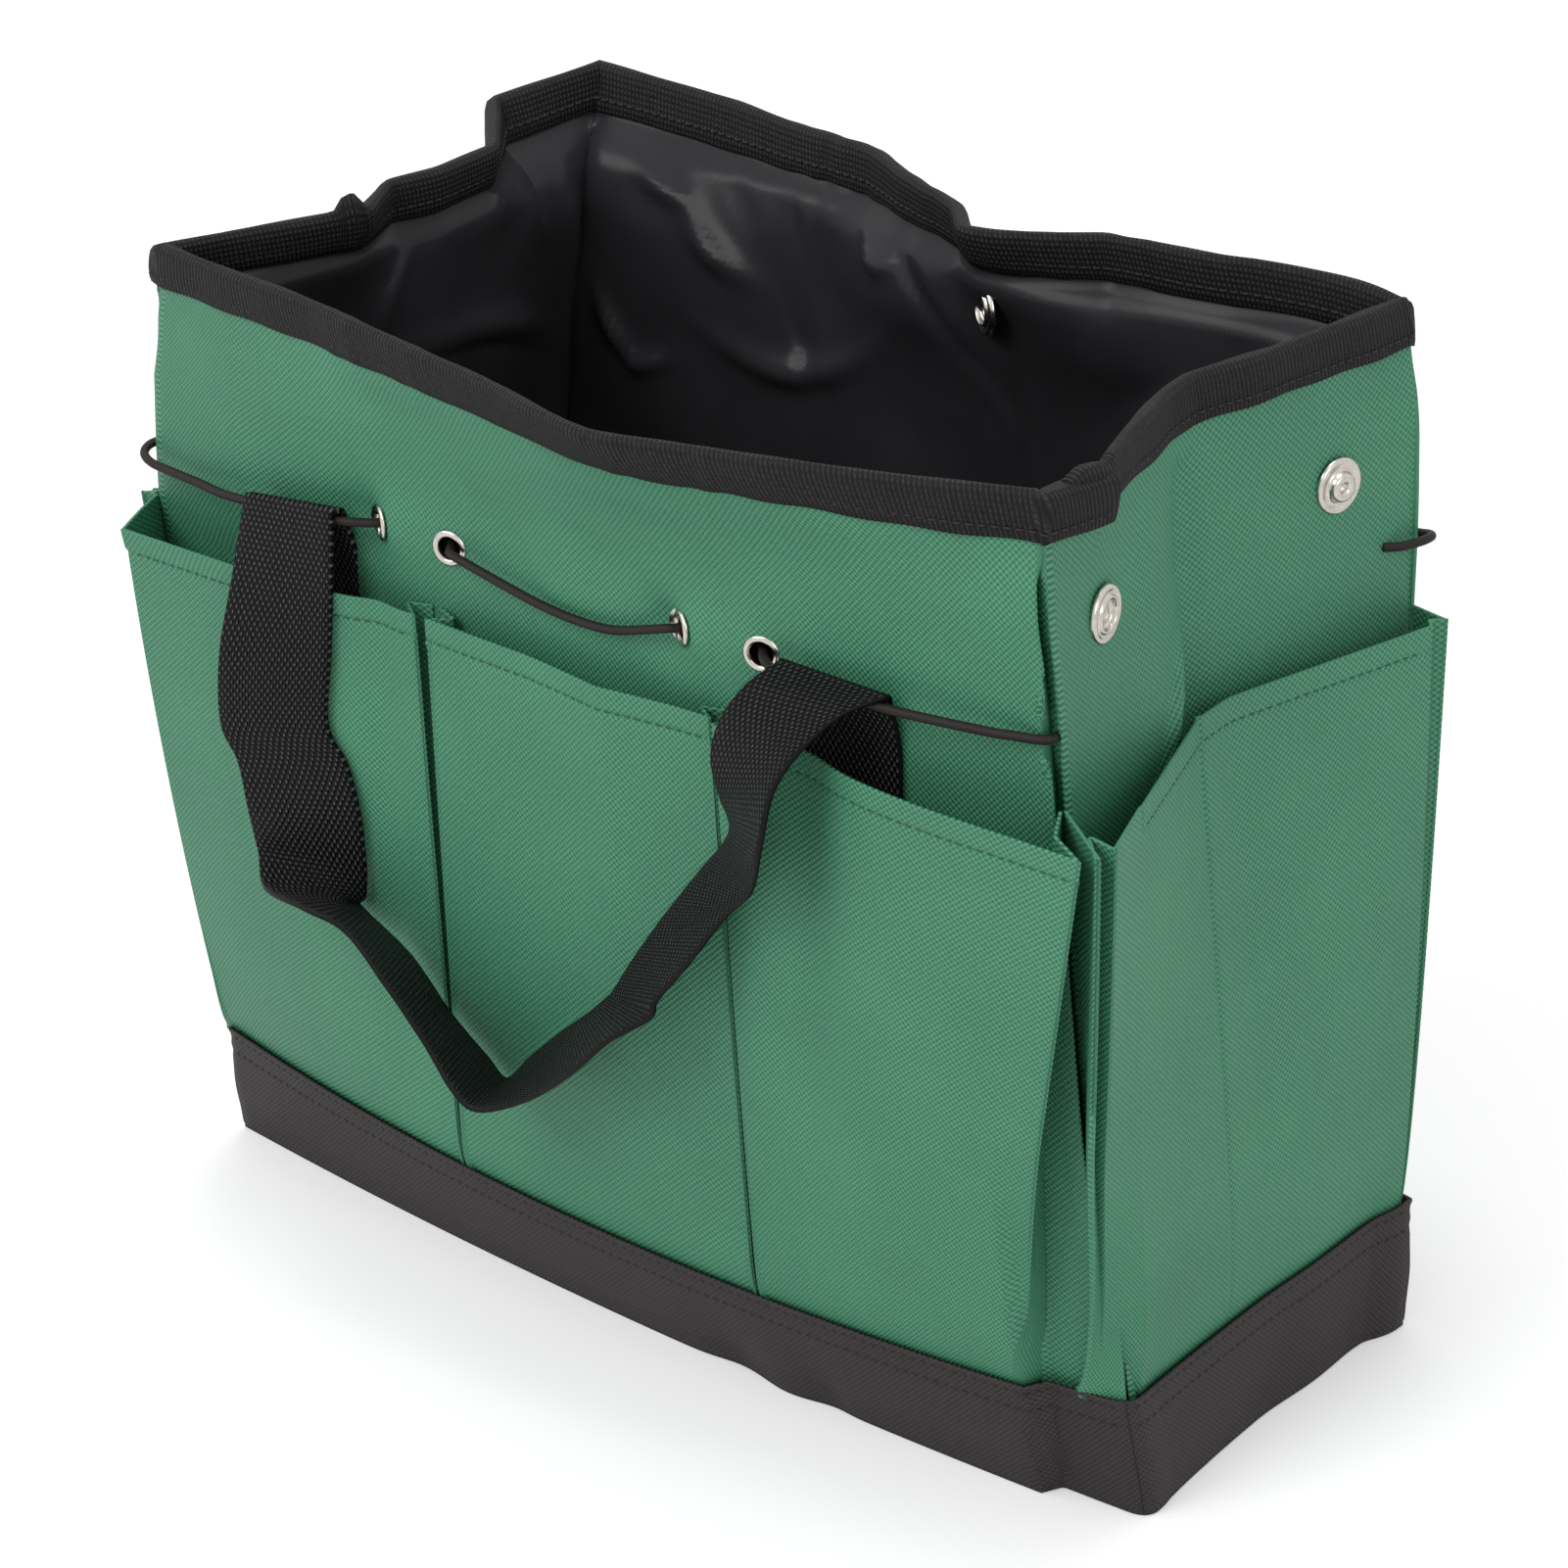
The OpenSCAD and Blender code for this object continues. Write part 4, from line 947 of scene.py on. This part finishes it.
def curve_through(points, per):
    """Smooth curve through the points: each stretch is the cubic whose end slopes are half the
    distance between the neighbours."""
    p = np.asarray(points, float)
    before, after = np.vstack([p[:1], p[:-2]]), np.vstack([p[2:], p[-1:]])
    a, b = p[:-1, None], p[1:, None]
    ma, mb = (p[1:] - before)[:, None] / 2, (after - p[:-1])[:, None] / 2
    t = (np.arange(per) / per)[None, :, None]
    curve = ((2 * t**3 - 3 * t**2 + 1) * a + (t**3 - 2 * t**2 + t) * ma
             + (3 * t**2 - 2 * t**3) * b + (t**3 - t**2) * mb)
    return np.vstack([curve.reshape(-1, p.shape[1]), p[-1:]])


def cord_route(face):
    """Points of a cord in mm: along the panel, rise above the cord line, distance from the cloth."""
    turn = 1 if face == "front" else -1

    def swing_off(x):
        """Distance of the handle's swing line from the cloth at x."""
        return float(turn * wall(face, x / cinch_half, CORD_HEIGHT)[1]) - SWING[face]

    def across(leg, sag):
        """Points on the swing line through one strap leg, with the sag of its fold."""
        return [(leg + w, low, swing_off(leg + w)) for w, low in zip((-17, 0, 17), sag)]

    def through(x, way):
        """Points into an eyelet, from the left or from the right."""
        return [(x + way * p[0], 0, p[1]) for p in INTO_EYELET]

    route = [(p[0] - cinch_half, p[1], p[2]) for p in CORD_START[face]]
    route += across(STRAP_LEGS[0], LEG_SAG[0])
    route += through(EYELETS[0], 1) + through(EYELETS[1], -1)[::-1] + CORD_MIDDLE
    route += through(EYELETS[2], 1) + through(EYELETS[3], -1)[::-1] + across(STRAP_LEGS[1], LEG_SAG[1])
    route += [(p[0] + cinch_half, p[1], p[2]) for p in CORD_FINISH]
    route = np.array(route)
    z = CORD_HEIGHT + route[:, 1]
    return skin(face, route[:, 0] / half_of(face, z), z, route[:, 2])


def elastic(name):
    """Braided elastic: crossed yarns along two spirals, 6 turns round and 0.9 mm along, black, with painted
    light on the raised yarns and painted shade between them.
    """
    material, tree, shader, place = new_material(name)
    axes = add_node(tree, "ShaderNodeSeparateXYZ", {0: place.outputs["UV"]})
    spirals = []
    for way in (1, -1):
        turn = add_node(tree, "ShaderNodeMath", {0: axes.outputs[0], 1: way * BRAID_YARNS * 2 * math.pi},
                        operation="MULTIPLY")
        run = {0: axes.outputs[1], 1: 2 * math.pi / BRAID_PITCH, 2: turn}
        spirals.append(add_node(tree, "ShaderNodeMath", run, operation="MULTIPLY_ADD"))
    height = crossed(tree, spirals, -1.0)
    # Painted light and shade: the colour follows the height of the yarns
    two_tone(tree, shader, height, ("#15110f", "#2b2523"), height, (.3, .0002),
             {"Roughness": .55, "Specular IOR Level": .22})
    return material


# Braided elastic: a thin brownish black line with a dull rubbery sheen
BRAID_YARNS = 6
BRAID_PITCH = .9
cord_elastic = elastic("braided_elastic_black")


def tube(name, path, radius, sides, material):
    """Round tube along a path: rings square to it, with closed ends."""
    t = unit(np.gradient(path, axis=0))
    a = unit(np.cross(t, [0, 0, 1]))
    b = np.cross(a, t)
    angle = np.arange(sides) * 2 * math.pi / sides
    ring = np.cos(angle)[None, :, None] * a[:, None] + np.sin(angle)[None, :, None] * b[:, None]
    girth = np.full(len(path), float(radius))
    path = np.vstack([path[:1], path, path[-1:]])
    ring = np.concatenate([ring[:1], ring, ring[-1:]])
    girth = np.concatenate([[1e-3], girth, [1e-3]])
    points = path[:, None] + ring * girth[:, None, None]
    uv = np.stack(np.meshgrid(np.arange(sides) / sides, run_of(path)), axis=-1)
    return add_mesh(name, points, quads(len(path), sides, ring=True), uv, material)


for face in LONG:
    path = curve_through(cord_route(face), 5)
    cord = tube("cord_" + face, path, CORD_D / 2, 12, cord_elastic)
    dress(cord, "elastic_cord", face + "_cord")

# Handles: 32 mm polypropylene webbing. Each tail is sewn to the panel behind the pockets, comes up
# over the cord, and the loop hangs down in front, turned on edge where it bends.
STRAP_W = 32
STRAP_T = 1.5
FOLD_R = 2.55
TAIL_LEVELS = (149, 165, 181, 197, 208)
# The hanging loop: outer edge and inner edge, each along the panel, off the wall, and height
LOOP = [(-105.5, 20, 203, -76, 12.5, 205), (-107.2, 27, 181.5, -78.3, 12.9, 184.9),
        (-111, 26, 160, -82, 12.7, 163.5), (-107, 24.6, 149.4, -77, 11.5, 153.1),
        (-104, 25.1, 136.5, -74.4, 10.6, 139.6), (-103, 24, 124, -74.6, 9.7, 123.6),
        (-92, 32, 120, -75.7, 9.3, 114.4), (-72, 35, 122, -79.5, 9.4, 110.3),
        (-59.3, 32, 118.6, -77, 9.1, 107.8), (-45, 32.1, 108.1, -61.8, 7.4, 99.3),
        (-32.9, 31.1, 95.4, -49.1, 6, 86.1), (-21.2, 32.3, 84.8, -36.4, 5.7, 77.7),
        (-13.2, 31.6, 82.2, -28.8, 5.6, 73.5), (2.5, 29.4, 90.3, -18.6, 6.4, 83.9),
        (17, 29.3, 102.6, -5.7, 7.5, 96.6), (29.8, 27.8, 116.2, 5.7, 8.5, 106.9),
        (40.1, 24.2, 124.5, 13.3, 9.2, 114.7), (41.8, 23.2, 129.7, 15.5, 9.4, 117.2),
        (50.2, 21.8, 141.2, 22.9, 9.4, 129), (60.4, 19.1, 156.5, 32.6, 9, 143.5),
        (71.8, 22.2, 168.5, 44, 8.1, 159.4), (80.6, 29, 185, 56.6, 10.3, 175.8),
        (82.2, 26, 199.1, 56.5, 13.5, 187.7), (85.1, 22, 207.5, 57, 16.5, 199.1),
        (89.4, 17, 214.2, 60, 16, 210), (95, 13, 220, 65, 13, 218.5)]
# Angles at which the strap leaves its round over the cord, on the first leg and the last
CREST_ENDS = (150, 110)


def webbing(name):
    """Plain weave of thick yarns; the colour follows the height to the fifth power times a noise, so
    that only the raised points carry painted highlights."""
    material, tree, shader, place = new_material(name)
    height = plain_weave(tree, place, WEB_PITCHES, -.7)
    fuzz = add_node(tree, "ShaderNodeTexNoise",
                    {"Vector": place.outputs["UV"], "Scale": 1.4, "Detail": 2.0})
    tips = add_node(tree, "ShaderNodeMath", {0: height, 1: 5.0}, operation="POWER")
    painted_highlight_and_fuzz = add_node(tree, "ShaderNodeMath", {0: tips, 1: fuzz.outputs["Fac"]}, operation="MULTIPLY")
    # Painted highlight: grey on the tips of the raised points, near black elsewhere
    two_tone(tree, shader, painted_highlight_and_fuzz, ("#060606", "#8a898c"), height, (1.0, .001),
             {"Roughness": .5, "Specular IOR Level": .15})
    return material


# Polypropylene webbing: black with painted grey highlights in rows on the raised points, which read as a
# coarse hard weave
WEB_PITCHES = (.9, 1.4)
black_webbing = webbing("polypropylene_webbing_black")


def strap_edges(face):
    """Both edges of the strap in mm, from tail to tail: up the panel, round the cord, down the
    loop and back up, round the cord and down the panel."""
    turn = np.array([1, 1, 1]) if face == "front" else np.array([-1, -1, 1])
    axis = SWING[face]

    def leg(middle, end, side, drop):
        """One leg: its tail up the panel, then an arc round the cord to the end angle."""
        z = np.array(TAIL_LEVELS, float)
        tail = off_face(face, np.full(len(z), float(middle)), z, 1.05)
        angles = np.radians(np.arange(0, end + 1, 20))
        crest = np.stack([np.full(len(angles), float(middle)), axis + FOLD_R * np.cos(angles),
                          CORD_HEIGHT + FOLD_R * np.sin(angles)], axis=-1) * turn
        line = np.vstack([tail, crest])
        half = np.array([STRAP_W / 2, 0, 0]) * turn * side
        low = np.zeros_like(line)
        low[len(tail):, 2] = drop
        return np.hstack([line - half - low, line + half])

    loop = np.array(LOOP)
    outer = off_face(face, loop[:, 0], loop[:, 2], loop[:, 1])
    inner = off_face(face, loop[:, 3], loop[:, 5], loop[:, 4])
    first = leg(STRAP_LEGS[0], CREST_ENDS[0], 1, CREST_DROP)
    last = leg(STRAP_LEGS[1], CREST_ENDS[1], -1, 0)[::-1]
    return np.vstack([first, np.hstack([outer, inner]), last])


def strap(face):
    """Webbing in straight lines between its two edges, each a smooth curve."""
    edges = curve_through(strap_edges(face), 8)
    outer, inner = edges[:, None, :3], edges[:, None, 3:]
    share = np.linspace(0, 1, 13)[None, :, None]
    points = outer + (inner - outer) * share
    run = run_of((edges[:, :3] + edges[:, 3:]) / 2)
    uv = np.stack(np.meshgrid(share[0, :, 0] * STRAP_W, run), axis=-1)
    web = add_mesh("handle_strap_" + face, points, quads(*points.shape[:2])[:, ::-1], uv, black_webbing)
    thicken(web, STRAP_T, 0)
    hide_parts(face + "_handle", face + "_handle_ends")
    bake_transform(web)


for face in LONG:
    strap(face)

# Studio: a white floor and backdrop in one, a large soft key from the upper left, a fill from the
# right, and a camera at the photograph's angle.
scene = bpy.context.scene
scene.view_settings.view_transform = "Standard"


def daylight():
    """World: even white light of 0.62, plain white to the camera, to gloss and through."""
    world = bpy.data.worlds.new("studio_white")
    scene.world = world
    world.use_nodes = True
    tree = world.node_tree
    tree.nodes.clear()
    path = add_node(tree, "ShaderNodeLightPath")
    rays = {0: path.outputs["Is Camera Ray"], 1: path.outputs["Is Glossy Ray"]}
    seen = add_node(tree, "ShaderNodeMath", rays, operation="ADD")
    seen = add_node(tree, "ShaderNodeMath", {0: seen, 1: path.outputs["Is Transmission Ray"]},
                    operation="ADD", use_clamp=True)
    strength = add_node(tree, "ShaderNodeMapRange", {"Value": seen, "To Min": .62, "To Max": 1.0})
    light = add_node(tree, "ShaderNodeBackground", {"Color": (1, 1, 1, 1), "Strength": strength})
    add_node(tree, "ShaderNodeOutputWorld", {"Surface": light})


daylight()


def set_up(obj, place, back, roll=0):
    """Puts a lamp or camera at a place, looking against the back vector, upright but for its roll."""
    scene.collection.objects.link(obj)
    back = unit(np.array(back, float))
    level = unit(np.cross([0, 0, 1], back))
    above = np.cross(back, level)
    turn = np.eye(4)
    turn[:3, 0] = math.cos(roll) * level + math.sin(roll) * above
    turn[:3, 1] = math.cos(roll) * above - math.sin(roll) * level
    turn[:3, 2] = back
    turn[:3, 3] = place
    obj.matrix_world = Matrix(turn.tolist())


def soft_lamp(name, place, aim, size, power):
    """Square area lamp at a place in m, turned to its aim, with its size in m and power in W."""
    lamp = bpy.data.lights.new(name, "AREA")
    lamp.size = size
    lamp.energy = power
    set_up(bpy.data.objects.new(name, lamp), place, np.subtract(place, aim))


soft_lamp("key", (-.5, -1.9, 1.9), (0, 0, .15), 1.2, 24)
soft_lamp("edge", (-1.6, -1.2, 1.9), (0, 0, .2), .6, 7)
soft_lamp("fill", (1.9, -.7, 1.3), (0, 0, .15), 1.2, 9.5)
soft_lamp("top", (-.1, .2, 2.2), (0, 0, .2), .9, 14)


def white_floor(name):
    """Floor paint: matt white that keeps the shadow, lifted to plain white for the camera."""
    material, tree, shader, _ = new_material(name)
    path = add_node(tree, "ShaderNodeLightPath")
    lift = add_node(tree, "ShaderNodeMath", {0: path.outputs["Is Camera Ray"], 1: .22}, operation="MULTIPLY")
    set_inputs(tree, shader, {"Base Color": (.86, .86, .86, 1), "Roughness": .9,
                              "Emission Color": (1, 1, 1, 1), "Emission Strength": lift})
    return material


floor_lines = np.linspace(-4000, 4000, 9)
floor_x, floor_y = np.meshgrid(floor_lines, floor_lines)
floor_grid = np.stack([floor_x, floor_y, 0 * floor_x - .2], axis=-1)
studio_floor = add_mesh("studio_floor", floor_grid, quads(*floor_x.shape), floor_grid[..., :2],
                        white_floor("matt_white_floor"))

# The camera that was fitted to the photograph: angles in degrees, distance and target in m
AZIMUTH, ELEVATION, ROLL = (math.radians(a) for a in (40.73, 26.56, -1.20))
DISTANCE = 1.30384
TARGET = np.array([-.00314, 0, .13526])
SENSOR = 36
FOCAL_PIXELS = 5000
PHOTO_PIXELS = 1601
back = np.array([math.sin(AZIMUTH) * math.cos(ELEVATION), -math.cos(AZIMUTH) * math.cos(ELEVATION),
                 math.sin(ELEVATION)])
lens = bpy.data.cameras.new("camera")
lens.sensor_width = SENSOR
lens.lens = SENSOR * FOCAL_PIXELS / PHOTO_PIXELS
lens.clip_start = .05
lens.clip_end = 50
camera = bpy.data.objects.new("camera", lens)
set_up(camera, TARGET + back * DISTANCE, back, ROLL)
scene.camera = camera
